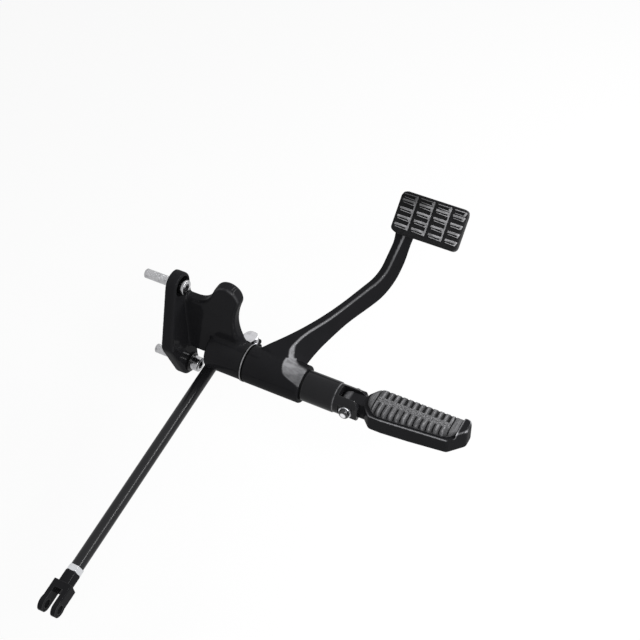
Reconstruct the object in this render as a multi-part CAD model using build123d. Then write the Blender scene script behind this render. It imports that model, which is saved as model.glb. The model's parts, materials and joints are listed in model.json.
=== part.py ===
from build123d import *
import math
import os

# Right-hand forward brake control for a cruiser motorcycle. A cast bracket bolts to the frame and
# clamps a fixed steel shaft. The brake lever turns on that shaft in two bushes, and a folding footpeg
# hangs on the shaft's outer end. A cranked arm on the lever pushes the brake rod towards the rear.
# X points outboard from the mounting face, Y points forward and Z up. The origin lies on the mounting
# face, midway between the two frame bolts. The shaft is parallel to X, a little below the origin.

# Fits and gaps
RUNNING_FIT = 0.05
BOLT_CLEARANCE = 0.25
SCREW_FIT = 0.02
SIDE_PLAY = 0.2
PIECE_GAP = 0.05

# Bracket
FRAME_BOLT_SPACING = 100.0
PIVOT_DROP = 20.0
BOSS_FACE_X = 74.0
BOSS_LENGTH = 38.0
BOSS_DIAMETER = 35.0
FLANGE_THICKNESS = 11.0
FLANGE_LUG_RADIUS = 13.0
FLANGE_BELLY_RADIUS = 15.0
FLANGE_BELLY_BACK = 14.0
FLANGE_BELLY_RISE = 12.0
WEB_THICKNESS = 12.0
LOBE_RADIUS = 13.2
LOBE_INSET = 19.5
LOBE_RISE = 72.0
WAIST_INSET = 12.0
WAIST_RISE = 34.0
VALLEY_REACH = 7.0
VALLEY_RISE = 55.5
WEB_FOOT_DROP = 8.0
LOBE_ENTRY_ANGLE = 25.0
LOBE_EXIT_ANGLE = 20.0
GUSSET_THICKNESS = 8.0
CAST_EDGE = 2.6

# Pinch clamp on the bracket's boss
CLAMP_EAR_LENGTH = 15.4
CLAMP_EAR_REACH = 27.0
CLAMP_EAR_HALF_HEIGHT = 6.5
CLAMP_SLIT = 2.0
PINCH_BOLT_DIAMETER = 8.0
PINCH_BOLT_REACH = 19.5
PINCH_BOLT_ACROSS_FLATS = 13.0
PINCH_BOLT_HEAD = 5.3
PINCH_WASHER_THICKNESS = 1.4
PINCH_WASHER_DIAMETER = 14.8

# Frame bolts
FRAME_BOLT_DIAMETER = 9.5
FRAME_THREAD_DIAMETER = 9.0
FRAME_BOLT_HEAD_DIAMETER = 14.2
FRAME_BOLT_HEAD = 8.4
FRAME_BOLT_KEY = 7.0
FRAME_BOLT_STICK_OUT = 28.0
FRAME_WASHER_THICKNESS = 1.6
FRAME_WASHER_DIAMETER = 19.0
UPPER_SEAT_DEPTH = 6.0

# Shaft, washers and bushes
SHAFT_DIAMETER = 19.0
THRUST_WASHER_THICKNESS = 2.0
THRUST_WASHER_DIAMETER = 36.5
OUTER_WASHER_THICKNESS = 1.8
OUTER_WASHER_DIAMETER = 27.0
BUSH_DIAMETER = 23.0
BUSH_LENGTH = 18.0
HUB_DIAMETER = 36.0
HUB_LENGTH = 57.6
HUB_RELIEF = 1.2

# Lever arm: the line of its middle, measured from the shaft at the bracket's face
ARM_ROOT_OUT = 32.0
ARM_ROOT_FORWARD = 6.0
ARM_ROOT_UP = 9.0
ARM_KNEE_OUT = 80.0
ARM_KNEE_FORWARD = 122.0
ARM_KNEE_UP = 32.3
ARM_KNEE_RADIUS = 42.0
ARM_INBOARD = -6.0
ARM_RIDGE = 0.7
ARM_OUTBOARD = 7.0
ARM_DEPTH = 18.0
ARM_TOE_INBOARD = -7.5
ARM_TOE_RIDGE = -3.0
ARM_TOE_OUTBOARD = 6.5
ARM_TOE_DEPTH = 15.0
ARM_EDGE = 2.4
ARM_CREASE = 1.2
SKIRT_INBOARD = 17.0
SKIRT_RIDGE = 5.0
SKIRT_OUTBOARD = 15.0
RIDGE_BOW = 4.0
ARM_FLARE_SHARE = 0.5
ARM_FLARE_POWER = 2.2
ARM_STATIONS = 12

# Pedal pad
PAD_OUT = 108.8
PAD_FORWARD = 150.4
PAD_UP = 96.9
PAD_TILT = 44.0
PAD_WIDTH = 63.6
PAD_HEIGHT = 38.0
PAD_DEPTH = 11.0
PAD_CORNER = 5.0
PLATE_THICKNESS = 5.0
PLATE_COVER = 3.0
PAD_LIP = 1.6
PAD_COLUMNS = 4
PAD_ROWS = 5
PAD_MARGIN = 4.4
PAD_BAR_HEIGHT = 2.2
PAD_BAR_WIDTH = 3.8
PAD_COLUMN_GAP = 3.6
PAD_RIB_WIDTH = 1.1
PAD_BARS_RISE = 1.6
PAD_BARS_SHIFT = 0.7
TOE_FROM_PAD_EDGE = 13.0
TOE_BELOW_PAD_MIDDLE = 5.0
TOE_BLEND = 2.0

# Rod arm of the lever: a cranked bar that passes below the bracket's boss
ROD_LINE_X = 30.0
ROD_SLOPE = 7.2
ROD_PIN_FORWARD = 32.0
ROD_PIN_DROP = 28.1
CRANK_BAR_SIZE = 13.0
CRANK_BAR_RADIUS = 27.5
CRANK_BAR_ANGLE = -50.0
CRANK_ROOT_LENGTH = 14.0
CRANK_LUG_THICKNESS = 7.0
CRANK_LUG_RADIUS = 9.0

# Rod end with its ball, and the bolt through it
ROD_END_RADIUS = 10.0
ROD_END_WIDTH = 8.0
ROD_END_SHANK = 40.0
ROD_END_NECK = 14.0
ROD_END_NECK_DIAMETER = 9.0
BALL_RADIUS = 7.0
BALL_WIDTH = 10.0
ROD_BOLT_DIAMETER = 8.0
ROD_BOLT_ACROSS_FLATS = 13.0
ROD_BOLT_HEAD = 5.3
ROD_NUT_HEIGHT = 6.5
ROD_WASHER_THICKNESS = 1.6
ROD_WASHER_DIAMETER = 15.0
ROD_BOLT_TIP = 2.0

# Brake rod and rear clevis
ROD_DIAMETER = 12.0
ROD_THREAD_DIAMETER = 8.0
ROD_PIN_TO_PIN = 300.0
ROD_START = 28.5
JAM_NUT_HEIGHT = 6.0
JAM_NUT_ACROSS_FLATS = 13.0
CLEVIS_WIDTH = 18.0
CLEVIS_HEIGHT = 15.0
CLEVIS_GAP = 8.4
CLEVIS_PIN_DIAMETER = 8.0
CLEVIS_SLOT_DEPTH = 14.0
CLEVIS_SHANK_DIAMETER = 14.0
CLEVIS_LENGTH = 33.0
CLEVIS_NECK = 13.0

# Peg support
SUPPORT_DIAMETER = 29.0
SUPPORT_BARREL_LENGTH = 31.2
SUPPORT_FORK_DIAMETER = 27.4
SUPPORT_FORK_LENGTH = 24.0
SUPPORT_FLAT_HALF_WIDTH = 12.2
SUPPORT_EAR_RADIUS = 13.2
SUPPORT_WALL = 6.2
SUPPORT_BOLT_DIAMETER = 8.0
SUPPORT_BOLT_HEAD_DIAMETER = 12.6
SUPPORT_BOLT_HEAD = 6.6
SUPPORT_BOLT_LENGTH = 24.0
SUPPORT_BOLT_KEY = 6.0
SUPPORT_HEAD_SUNK = 1.8
LOCK_WASHER_THICKNESS = 2.0
LOCK_WASHER_DIAMETER = 12.4
GRUB_SCREW_DIAMETER = 6.0
GRUB_SCREW_INSET = 10.0
GRUB_SCREW_KEY = 3.0

# Footpeg hinge
TANG_THICKNESS = 12.2
SPRING_WASHER_THICKNESS = 0.7
HINGE_GAP = 0.15
HINGE_TO_FORK_END = 11.0
HINGE_TO_SLOT_FLOOR = 9.6
HEEL_GAP = 0.3
HINGE_PIN_DIAMETER = 7.0
HINGE_HEAD_DIAMETER = 10.0
HINGE_HEAD_HEIGHT = 3.8
HEAD_WASHER_THICKNESS = 1.4
HEAD_WASHER_DIAMETER = 12.0
HINGE_PIN_TAIL = 3.6
CLIP_THICKNESS = 1.0
CLIP_DIAMETER = 12.0
CLIP_GROOVE_DEPTH = 0.7
CLIP_MOUTH_ANGLE = 70.0

# Footpeg
PEG_START = 13.6
PEG_LENGTH = 96.0
PEG_FRONT = 18.0
PEG_REAR = 15.0
PEG_REAR_TIP = 9.6
PEG_TOP = 15.5
PEG_BOTTOM = 9.0
PEG_BOTTOM_TIP = 7.0
PEG_END_CUT = 13.0
PEG_END_REAR = 4.0
PEG_INNER_CUT = 10.0
PEG_EDGE = 5.0
PEG_LOWER_EDGE = 3.4
RIM_HEIGHT = 10.0
DECK_THICKNESS = 3.5
TRAY_WALL = 3.5
TANG_ROOT = 9.0
LIP_LENGTH = 8.0
LIP_CROWN = 1.6
LIP_GAP = 0.3
RUBBER_INSET = 3.0
RUBBER_CROWN = 3.6
CORE_HEIGHT = 2.5
CORE_INSET = 8.0
RIB_COUNT = 13
RIB_PITCH = 5.9
RIB_GROOVE = 2.2
RIB_DEPTH = 2.2
RIB_FOOT = 1.2
BAND_HALF_WIDTH = 4.5
BAND_OFFSET = 2.0
PEG_SCREW_DIAMETER = 5.0
PEG_SCREW_HEAD_DIAMETER = 9.0
PEG_SCREW_HEAD = 2.4
PEG_SCREW_LENGTH = 7.0
PEG_SCREW_SPACING = 48.0
PEG_SCREW_START = 34.0

# Places along the shaft that follow from the sizes
PIVOT_Z = -PIVOT_DROP
BOSS_BACK_X = BOSS_FACE_X - BOSS_LENGTH
HUB_X = BOSS_FACE_X + THRUST_WASHER_THICKNESS + SIDE_PLAY
HUB_END_X = HUB_X + HUB_LENGTH
OUTER_WASHER_X = HUB_END_X + SIDE_PLAY
SUPPORT_X = OUTER_WASHER_X + OUTER_WASHER_THICKNESS
SLOT_FLOOR_DEPTH = SUPPORT_BARREL_LENGTH + SUPPORT_FORK_LENGTH - HINGE_TO_FORK_END - HINGE_TO_SLOT_FLOOR
SUPPORT_BOLT_SEAT = SLOT_FLOOR_DEPTH - SUPPORT_HEAD_SUNK - SUPPORT_BOLT_HEAD - LOCK_WASHER_THICKNESS
SUPPORT_SOCKET_DEPTH = SUPPORT_BOLT_SEAT - SUPPORT_WALL
SHAFT_END_X = SUPPORT_X + SUPPORT_SOCKET_DEPTH
FORK_X = SUPPORT_X + SUPPORT_BARREL_LENGTH
FORK_END_X = FORK_X + SUPPORT_FORK_LENGTH
HINGE_X = FORK_END_X - HINGE_TO_FORK_END
SLOT_FLOOR_X = HINGE_X - HINGE_TO_SLOT_FLOOR
SLOT_WIDTH = TANG_THICKNESS + SPRING_WASHER_THICKNESS + 2 * HINGE_GAP
TANG_CENTRE_Y = -(SPRING_WASHER_THICKNESS / 2)
SHAFT_RADIUS = SHAFT_DIAMETER / 2
HUB_RADIUS = HUB_DIAMETER / 2
BOSS_RADIUS = BOSS_DIAMETER / 2


def on_shaft(x):
    """Place on the pivot axis at x, with the local Z axis pointing outboard."""
    return Pos(x, 0, PIVOT_Z) * Rot(0, 90, 0)


def rod(radius, length):
    """Solid cylinder that stands on its local XY plane."""
    return Cylinder(radius, length, align=(Align.CENTER, Align.CENTER, Align.MIN))


def block(length, width, height):
    """Box that stands on its local XY plane."""
    return Box(length, width, height, align=(Align.CENTER, Align.CENTER, Align.MIN))


def ring(outer_diameter, bore_diameter, thickness):
    """Flat washer or bush that stands on its local XY plane."""
    return rod(outer_diameter / 2, thickness) - rod(bore_diameter / 2, thickness)


def hexagon(across_flats, height):
    """Hexagonal prism with its top corners turned off."""
    corner_radius = across_flats / math.sqrt(3)
    turned = rod(corner_radius, height)
    corner_reach = (corner_radius - across_flats / 2) * 1.2
    turned = chamfer(turned.edges().group_by(Axis.Z)[-1], height * 0.14, corner_reach)
    return extrude(RegularPolygon(across_flats / 2, 6, major_radius=False), height) & turned


def hex_bolt(diameter, length, across_flats, head_height):
    """Hexagon bolt: the head stands on z = 0 and the shank hangs below it."""
    shank = Pos(0, 0, -length) * rod(diameter / 2, length)
    shank = chamfer(shank.edges().group_by(Axis.Z)[0], diameter * 0.09)
    return hexagon(across_flats, head_height) + shank


def hex_nut(diameter, across_flats, height):
    """Hexagon nut that stands on z = 0."""
    return hexagon(across_flats, height) - rod(diameter / 2 + SCREW_FIT, height)


def cap_screw(diameter, length, head_diameter, head_height, key_size):
    """Socket head screw: the head stands on z = 0 and the shank hangs below it."""
    head = rod(head_diameter / 2, head_height)
    head = fillet(head.edges().group_by(Axis.Z)[-1], head_height * 0.1)
    key_depth = head_height * 0.55
    socket = extrude(RegularPolygon(key_size / 2, 6, major_radius=False), key_depth)
    head -= Pos(0, 0, head_height - key_depth) * socket
    shank = Pos(0, 0, -length) * rod(diameter / 2, length)
    shank = chamfer(shank.edges().group_by(Axis.Z)[0], diameter * 0.09)
    return head + shank


# Mounting bracket

def flange():
    """Plate in the YZ plane that lies against the frame, with a lug at each bolt."""
    half_spacing = FRAME_BOLT_SPACING / 2
    discs = [Pos(0, half_spacing) * Circle(FLANGE_LUG_RADIUS),
             Pos(0, -half_spacing) * Circle(FLANGE_LUG_RADIUS),
             Pos(-FLANGE_BELLY_BACK, PIVOT_Z + FLANGE_BELLY_RISE) * Circle(FLANGE_BELLY_RADIUS)]
    outline = make_hull([edge for disc in discs for edge in disc.edges()])
    plate = extrude(Plane.YZ * outline, FLANGE_THICKNESS)
    return fillet(plate.edges().group_by(Axis.X)[-1], CAST_EDGE)


def web():
    """Upright plate that joins the flange to the boss and rises outboard to a round lobe."""
    lobe_x = BOSS_FACE_X - LOBE_INSET
    lobe_z = PIVOT_Z + LOBE_RISE
    entry = math.radians(LOBE_ENTRY_ANGLE)
    leave = math.radians(LOBE_EXIT_ANGLE)
    left = (lobe_x - LOBE_RADIUS * math.cos(entry), lobe_z + LOBE_RADIUS * math.sin(entry))
    top = (lobe_x, lobe_z + LOBE_RADIUS)
    right = (lobe_x + LOBE_RADIUS * math.cos(leave), lobe_z - LOBE_RADIUS * math.sin(leave))
    waist = (BOSS_FACE_X - WAIST_INSET, PIVOT_Z + WAIST_RISE)
    foot = (BOSS_FACE_X, PIVOT_Z + BOSS_RADIUS * 0.55)
    valley = (FLANGE_THICKNESS + VALLEY_REACH, PIVOT_Z + VALLEY_RISE)
    corner = (FLANGE_THICKNESS, PIVOT_Z + VALLEY_RISE)
    base = (FLANGE_THICKNESS, PIVOT_Z - WEB_FOOT_DROP)
    inner_foot = (BOSS_BACK_X + 2, PIVOT_Z - WEB_FOOT_DROP)
    with BuildSketch(Plane.XZ.offset(-WEB_THICKNESS)) as outline:
        with BuildLine():
            Line(base, corner)
            Line(corner, valley)
            Spline(valley, left, tangents=((1, 0), (math.sin(entry), math.cos(entry))))
            ThreePointArc(left, top, right)
            Spline(right, waist, foot, tangents=((-math.sin(leave), -math.cos(leave)), (0.75, -0.66)))
            Line(foot, (BOSS_FACE_X - 2, PIVOT_Z))
            Line((BOSS_FACE_X - 2, PIVOT_Z), inner_foot)
            Line(inner_foot, base)
        make_face()
    plate = extrude(outline.sketch, WEB_THICKNESS)
    high_edges = plate.edges().filter_by(lambda edge: edge.center().Z > PIVOT_Z + BOSS_RADIUS)
    rim = high_edges.filter_by(lambda edge: edge.bounding_box().size.Y < 0.01)
    rim = rim.filter_by(lambda edge: edge.center().X > FLANGE_THICKNESS + 1)
    return fillet(rim, CAST_EDGE)


def clamp_ears():
    """Block on the front of the boss that the pinch bolt pulls together."""
    ears = Box(CLAMP_EAR_LENGTH, CLAMP_EAR_REACH, 2 * CLAMP_EAR_HALF_HEIGHT,
               align=(Align.MAX, Align.MIN, Align.CENTER))
    ears = fillet(ears.edges().filter_by(Axis.X).sort_by(Axis.Y)[-2:], CAST_EDGE)
    return Pos(BOSS_FACE_X, 0, PIVOT_Z) * ears


def mounting_bracket():
    """Casting of flange, web, gusset and boss, bored for the shaft and slit for the clamp."""
    body = flange() + web() + clamp_ears()
    boss = on_shaft(BOSS_BACK_X) * rod(BOSS_RADIUS, BOSS_LENGTH)
    boss = chamfer(boss.edges().group_by(Axis.X)[0], 1.2)
    gusset_plan = Polyline((FLANGE_THICKNESS - 1, 0), (BOSS_BACK_X + BOSS_LENGTH / 2, 0),
                           (BOSS_BACK_X + BOSS_LENGTH / 2, BOSS_RADIUS * 0.7),
                           (FLANGE_THICKNESS - 1, WEB_THICKNESS + 6), close=True)
    gusset = extrude(make_face(gusset_plan), GUSSET_THICKNESS)
    body += boss + Pos(0, 0, PIVOT_Z + BOSS_RADIUS * 0.35) * gusset
    body -= on_shaft(BOSS_BACK_X - 1) * rod(SHAFT_RADIUS + SCREW_FIT, BOSS_LENGTH + 2)

    slit = Box(CLAMP_EAR_LENGTH + CLAMP_SLIT, CLAMP_EAR_REACH + 1, CLAMP_SLIT,
               align=(Align.MAX, Align.MIN, Align.CENTER))
    cross_slit = Box(CLAMP_SLIT, BOSS_RADIUS + 1, BOSS_RADIUS,
                     align=(Align.MAX, Align.MIN, Align.CENTER))
    body -= Pos(BOSS_FACE_X, 0, PIVOT_Z) * slit
    body -= Pos(BOSS_FACE_X - CLAMP_EAR_LENGTH, SHAFT_RADIUS * 0.6, PIVOT_Z) * cross_slit
    pinch_hole = Pos(0, 0, -2 * CLAMP_EAR_HALF_HEIGHT) * rod(PINCH_BOLT_DIAMETER / 2 + SCREW_FIT,
                                                           4 * CLAMP_EAR_HALF_HEIGHT)
    body -= Pos(BOSS_FACE_X - CLAMP_EAR_LENGTH / 2, PINCH_BOLT_REACH, PIVOT_Z) * pinch_hole
    body -= pinch_seat() * rod(PINCH_WASHER_DIAMETER / 2 + BOLT_CLEARANCE, BOSS_DIAMETER)

    for side in (1, -1):
        hole = rod(FRAME_BOLT_DIAMETER / 2 + BOLT_CLEARANCE, FLANGE_THICKNESS + 2)
        body -= Pos(-1, 0, side * FRAME_BOLT_SPACING / 2) * Rot(0, 90, 0) * hole
    seat = rod(FRAME_WASHER_DIAMETER / 2 + BOLT_CLEARANCE, UPPER_SEAT_DEPTH + 1)
    return body - frame_bolt_seat(1) * seat


def seat_depth(side):
    """Depth of a frame bolt's seat: the upper one lies in a counterbore of the flange."""
    return UPPER_SEAT_DEPTH if side > 0 else 0


def frame_bolt_seat(side):
    """Place of a frame bolt's washer, with the local Z axis pointing outboard."""
    return Pos(FLANGE_THICKNESS - seat_depth(side), 0, side * FRAME_BOLT_SPACING / 2) * Rot(0, 90, 0)


def frame_bolt(side):
    """Socket head screw with a plain shank in the flange and a thread beyond the mounting face."""
    grip = FLANGE_THICKNESS - seat_depth(side) + FRAME_WASHER_THICKNESS
    screw = cap_screw(FRAME_BOLT_DIAMETER, grip, FRAME_BOLT_HEAD_DIAMETER, FRAME_BOLT_HEAD, FRAME_BOLT_KEY)
    thread = rod(FRAME_THREAD_DIAMETER / 2, FRAME_BOLT_STICK_OUT)
    thread = chamfer(thread.edges().group_by(Axis.Z)[0], FRAME_THREAD_DIAMETER * 0.09)
    shank = rod(FRAME_BOLT_DIAMETER / 2, grip)
    screw += Pos(0, 0, -grip - FRAME_BOLT_STICK_OUT) * thread + Pos(0, 0, -grip) * shank
    return frame_bolt_seat(side) * Pos(0, 0, FRAME_WASHER_THICKNESS) * screw


def frame_washer(side):
    """Washer under a frame bolt's head."""
    washer = ring(FRAME_WASHER_DIAMETER, FRAME_BOLT_DIAMETER + 2 * BOLT_CLEARANCE, FRAME_WASHER_THICKNESS)
    return frame_bolt_seat(side) * washer


def pinch_seat():
    """Place of the pinch bolt's axis on top of the upper ear."""
    return Pos(BOSS_FACE_X - CLAMP_EAR_LENGTH / 2, PINCH_BOLT_REACH, PIVOT_Z + CLAMP_EAR_HALF_HEIGHT)


def pinch_bolt():
    """Hexagon bolt that clamps the shaft in the boss."""
    bolt = hex_bolt(PINCH_BOLT_DIAMETER, 2 * CLAMP_EAR_HALF_HEIGHT + PINCH_WASHER_THICKNESS,
                    PINCH_BOLT_ACROSS_FLATS, PINCH_BOLT_HEAD)
    return pinch_seat() * Pos(0, 0, PINCH_WASHER_THICKNESS) * bolt


def pinch_bolt_washer():
    """Washer under the pinch bolt's head."""
    return pinch_seat() * ring(PINCH_WASHER_DIAMETER, PINCH_BOLT_DIAMETER + 2 * BOLT_CLEARANCE,
                               PINCH_WASHER_THICKNESS)


# Shaft and what turns on it

def pivot_shaft():
    """Fixed shaft, clamped in the boss and tapped at its outer end for the support's bolt."""
    length = SHAFT_END_X - BOSS_BACK_X
    shaft = rod(SHAFT_RADIUS, length)
    shaft = chamfer(shaft.edges().filter_by(GeomType.CIRCLE), 0.8)
    tapped = SUPPORT_BOLT_LENGTH - SUPPORT_WALL - LOCK_WASHER_THICKNESS + 2
    shaft -= Pos(0, 0, length - tapped) * rod(SUPPORT_BOLT_DIAMETER / 2 + SCREW_FIT, tapped)
    return on_shaft(BOSS_BACK_X) * shaft


def thrust_washer():
    """Washer between the boss and the lever's hub, seen as a pale line round the joint."""
    return on_shaft(BOSS_FACE_X) * ring(THRUST_WASHER_DIAMETER, SHAFT_DIAMETER + 2 * BOLT_CLEARANCE,
                                        THRUST_WASHER_THICKNESS)


def outer_washer():
    """Washer between the lever's hub and the peg support."""
    return on_shaft(OUTER_WASHER_X) * ring(OUTER_WASHER_DIAMETER, SHAFT_DIAMETER + 2 * BOLT_CLEARANCE,
                                           OUTER_WASHER_THICKNESS)


def hub_bush(x):
    """Plain bronze bush pressed into one end of the hub."""
    return on_shaft(x) * ring(BUSH_DIAMETER, SHAFT_DIAMETER + 2 * RUNNING_FIT, BUSH_LENGTH)


# Brake lever

def from_boss(out, forward, up):
    """Point measured from the shaft's axis at the bracket's face."""
    return Vector(BOSS_FACE_X + out, forward, PIVOT_Z + up)


def pad_plane():
    """Plane of the lever's plate: its X runs outboard, its Y up the pad and its Z out of the face."""
    tilt = math.radians(PAD_TILT)
    return Plane(origin=from_boss(PAD_OUT, PAD_FORWARD, PAD_UP), x_dir=(1, 0, 0),
                 z_dir=(0, -math.sin(tilt), math.cos(tilt)))


def plate_size():
    """Width and height of the steel plate that the pad's rubber covers."""
    return PAD_WIDTH - 2 * PLATE_COVER, PAD_HEIGHT - 2 * PLATE_COVER


def lever_plate():
    """Steel plate behind the pad's rubber."""
    width, height = plate_size()
    outline = RectangleRounded(width, height, PAD_CORNER - PLATE_COVER / 2)
    return pad_plane() * Pos(0, 0, -PAD_DEPTH) * extrude(outline, PLATE_THICKNESS)


def arm_line():
    """Middle line of the arm: straight from the hub to the knee, then up to the plate."""
    toe_across = -PAD_WIDTH / 2 + TOE_FROM_PAD_EDGE
    toe_depth = -PAD_DEPTH + TOE_BLEND - ARM_TOE_DEPTH / 2
    toe = pad_plane().from_local_coords(Vector(toe_across, -TOE_BELOW_PAD_MIDDLE, toe_depth))
    root = from_boss(ARM_ROOT_OUT, ARM_ROOT_FORWARD, ARM_ROOT_UP)
    knee = from_boss(ARM_KNEE_OUT, ARM_KNEE_FORWARD, ARM_KNEE_UP)
    return FilletPolyline(root, knee, toe, radius=ARM_KNEE_RADIUS)


def arm_section(inboard, ridge, outboard, depth):
    """Section of the arm: a flat top up to the ridge, then a face that slopes out to the lower edge."""
    outline = make_face(Polyline((inboard, depth / 2), (ridge, depth / 2), (outboard, -depth / 2),
                                 (inboard, -depth / 2), close=True))
    crease = outline.vertices().filter_by(lambda corner: corner.Y > 0).sort_by(Axis.X)[-1]
    outline = fillet(crease, ARM_CREASE)
    others = outline.vertices().filter_by(
        lambda corner: corner.Y < 0 or abs(corner.X - inboard) < ARM_CREASE / 2)
    return fillet(others, ARM_EDGE)


def between(start, end, share):
    """Value at a share of the way from start to end."""
    return start + (end - start) * share


def lever_arm():
    """Forged arm with a ridge along its top, which widens to a skirt where it leaves the hub."""
    line = arm_line()
    sections = []
    for station in range(ARM_STATIONS + 1):
        share = station / ARM_STATIONS
        rest = max(0.0, 1 - share / ARM_FLARE_SHARE)
        flare = rest ** ARM_FLARE_POWER
        tangent = line % share
        lateral = Vector(1, 0, 0) - tangent * tangent.X + Vector(1, 0, 0) * rest
        tangent -= lateral * (tangent.dot(lateral) / lateral.dot(lateral))
        bow = RIDGE_BOW * 4 * rest * (1 - rest)
        section = arm_section(between(ARM_INBOARD, ARM_TOE_INBOARD, share) - SKIRT_INBOARD * flare,
                              between(ARM_RIDGE, ARM_TOE_RIDGE, share) + SKIRT_RIDGE * flare - bow,
                              between(ARM_OUTBOARD, ARM_TOE_OUTBOARD, share) + SKIRT_OUTBOARD * flare,
                              between(ARM_DEPTH, ARM_TOE_DEPTH, share))
        sections.append(Plane(origin=line @ share, x_dir=lateral, z_dir=-tangent) * section)
    return loft(sections)


def crank_place(radius, angle):
    """Point on a ray from the shaft's axis, seen from outboard, with 0 degrees pointing forward."""
    return radius * math.cos(math.radians(angle)), PIVOT_Z + radius * math.sin(math.radians(angle))


def rod_arm():
    """Cranked arm: a root beside the hub, a bar below the boss and a lug for the rod's bolt."""
    lug_x = ROD_LINE_X + BALL_WIDTH / 2
    bar_y, bar_z = crank_place(CRANK_BAR_RADIUS, CRANK_BAR_ANGLE)
    bar_length = HUB_X + CRANK_ROOT_LENGTH - lug_x
    bar = extrude(RectangleRounded(CRANK_BAR_SIZE, CRANK_BAR_SIZE, CRANK_BAR_SIZE * 0.25), bar_length)
    bar = Pos(lug_x, bar_y, bar_z) * Rot(-CRANK_BAR_ANGLE, 0, 0) * Rot(0, 90, 0) * bar
    root = Box(CRANK_ROOT_LENGTH, CRANK_BAR_RADIUS, CRANK_BAR_SIZE,
               align=(Align.MIN, Align.MIN, Align.CENTER))
    root = Pos(HUB_X, 0, PIVOT_Z) * Rot(CRANK_BAR_ANGLE, 0, 0) * root
    pin_z = PIVOT_Z - ROD_PIN_DROP
    discs = [Pos(bar_y, bar_z) * Circle(CRANK_BAR_SIZE / 2),
             Pos(ROD_PIN_FORWARD, pin_z) * Circle(CRANK_LUG_RADIUS)]
    outline = make_hull([edge for disc in discs for edge in disc.edges()])
    lug = Pos(lug_x, 0, 0) * extrude(Plane.YZ * outline, CRANK_LUG_THICKNESS)
    arm = bar + root + lug
    hole = rod(ROD_BOLT_DIAMETER / 2 + SCREW_FIT, CRANK_LUG_THICKNESS + 2)
    return arm - Pos(lug_x - 1, ROD_PIN_FORWARD, pin_z) * Rot(0, 90, 0) * hole


def brake_lever():
    """Forging of hub, arm, plate and rod arm, bored for the bushes."""
    hub = rod(HUB_RADIUS, HUB_LENGTH)
    hub = chamfer(hub.edges().filter_by(GeomType.CIRCLE), 0.8)
    body = on_shaft(HUB_X) * hub + rod_arm() + lever_arm() + lever_plate()
    bore = rod(BUSH_DIAMETER / 2 - HUB_RELIEF, HUB_LENGTH)
    for z in (0, HUB_LENGTH - BUSH_LENGTH):
        bore += Pos(0, 0, z) * rod(BUSH_DIAMETER / 2 + SCREW_FIT, BUSH_LENGTH)
    return body - on_shaft(HUB_X) * bore


def pedal_rubber():
    """Rubber pad that slips over the plate, with rows of raised bars between thin ribs."""
    base_depth = PAD_DEPTH - PAD_BAR_HEIGHT
    outline = RectangleRounded(PAD_WIDTH, PAD_HEIGHT, PAD_CORNER)
    back = -PAD_DEPTH - PAD_LIP
    pad = Pos(0, 0, back) * extrude(outline, base_depth + PAD_LIP)
    pad = fillet(pad.edges().group_by(Axis.Z)[-1], 1.0)
    width, height = plate_size()
    pocket = RectangleRounded(width + 2 * PIECE_GAP, height + 2 * PIECE_GAP,
                              PAD_CORNER - PLATE_COVER / 2)
    pad -= Pos(0, 0, -PAD_DEPTH - PIECE_GAP) * extrude(pocket, PLATE_THICKNESS + 2 * PIECE_GAP)
    mouth = RectangleRounded(width - 2 * PLATE_COVER, height - 2 * PLATE_COVER, PAD_CORNER)
    pad -= Pos(0, 0, back - 1) * extrude(mouth, PAD_LIP + 2)

    inner_width = PAD_WIDTH - 2 * PAD_MARGIN
    inner_height = PAD_HEIGHT - 2 * PAD_MARGIN
    column_pitch = (inner_width + PAD_COLUMN_GAP) / PAD_COLUMNS
    row_pitch = (inner_height + PAD_BAR_WIDTH * 0.6) / PAD_ROWS
    top = -PAD_BAR_HEIGHT
    for column in range(PAD_COLUMNS):
        across = PAD_BARS_SHIFT + (column - (PAD_COLUMNS - 1) / 2) * column_pitch
        for row in range(PAD_ROWS):
            along = PAD_BARS_RISE + (row - (PAD_ROWS - 1) / 2) * row_pitch
            bar = block(column_pitch - PAD_COLUMN_GAP, PAD_BAR_WIDTH, PAD_BAR_HEIGHT + 0.4)
            bar = chamfer(bar.edges().group_by(Axis.Z)[-1], 0.6)
            pad += Pos(across, along, top - 0.4) * bar
        if column:
            divider = block(PAD_RIB_WIDTH, inner_height, PAD_BAR_HEIGHT + 0.2)
            pad += Pos(across - column_pitch / 2, PAD_BARS_RISE, top - 0.4) * divider
    return pad_plane() * pad


def pedal_rubber_clear_of_arm():
    """The pad's rubber with its back lip notched where the arm meets the plate."""
    toe_across = -PAD_WIDTH / 2 + TOE_FROM_PAD_EDGE
    toe_width = ARM_TOE_OUTBOARD - ARM_TOE_INBOARD
    toe_middle = toe_across + (ARM_TOE_OUTBOARD + ARM_TOE_INBOARD) / 2
    notch = Box(toe_width + 3, PAD_HEIGHT, PAD_LIP + 2, align=(Align.CENTER, Align.MAX, Align.MAX))
    notch = Pos(toe_middle, 0, -PAD_DEPTH) * notch
    return pedal_rubber() - pad_plane() * notch


# Rod end, rod and rear clevis

def rod_plane():
    """Plane at the front pin: its X runs outboard and its Z runs back along the rod."""
    slope = math.radians(ROD_SLOPE)
    return Plane(origin=(ROD_LINE_X, ROD_PIN_FORWARD, PIVOT_Z - ROD_PIN_DROP), x_dir=(1, 0, 0),
                 z_dir=(0, -math.cos(slope), -math.sin(slope)))


def along_rod(distance):
    """Place on the rod's axis at a distance behind the front pin."""
    return rod_plane().location * Pos(0, 0, distance)


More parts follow.
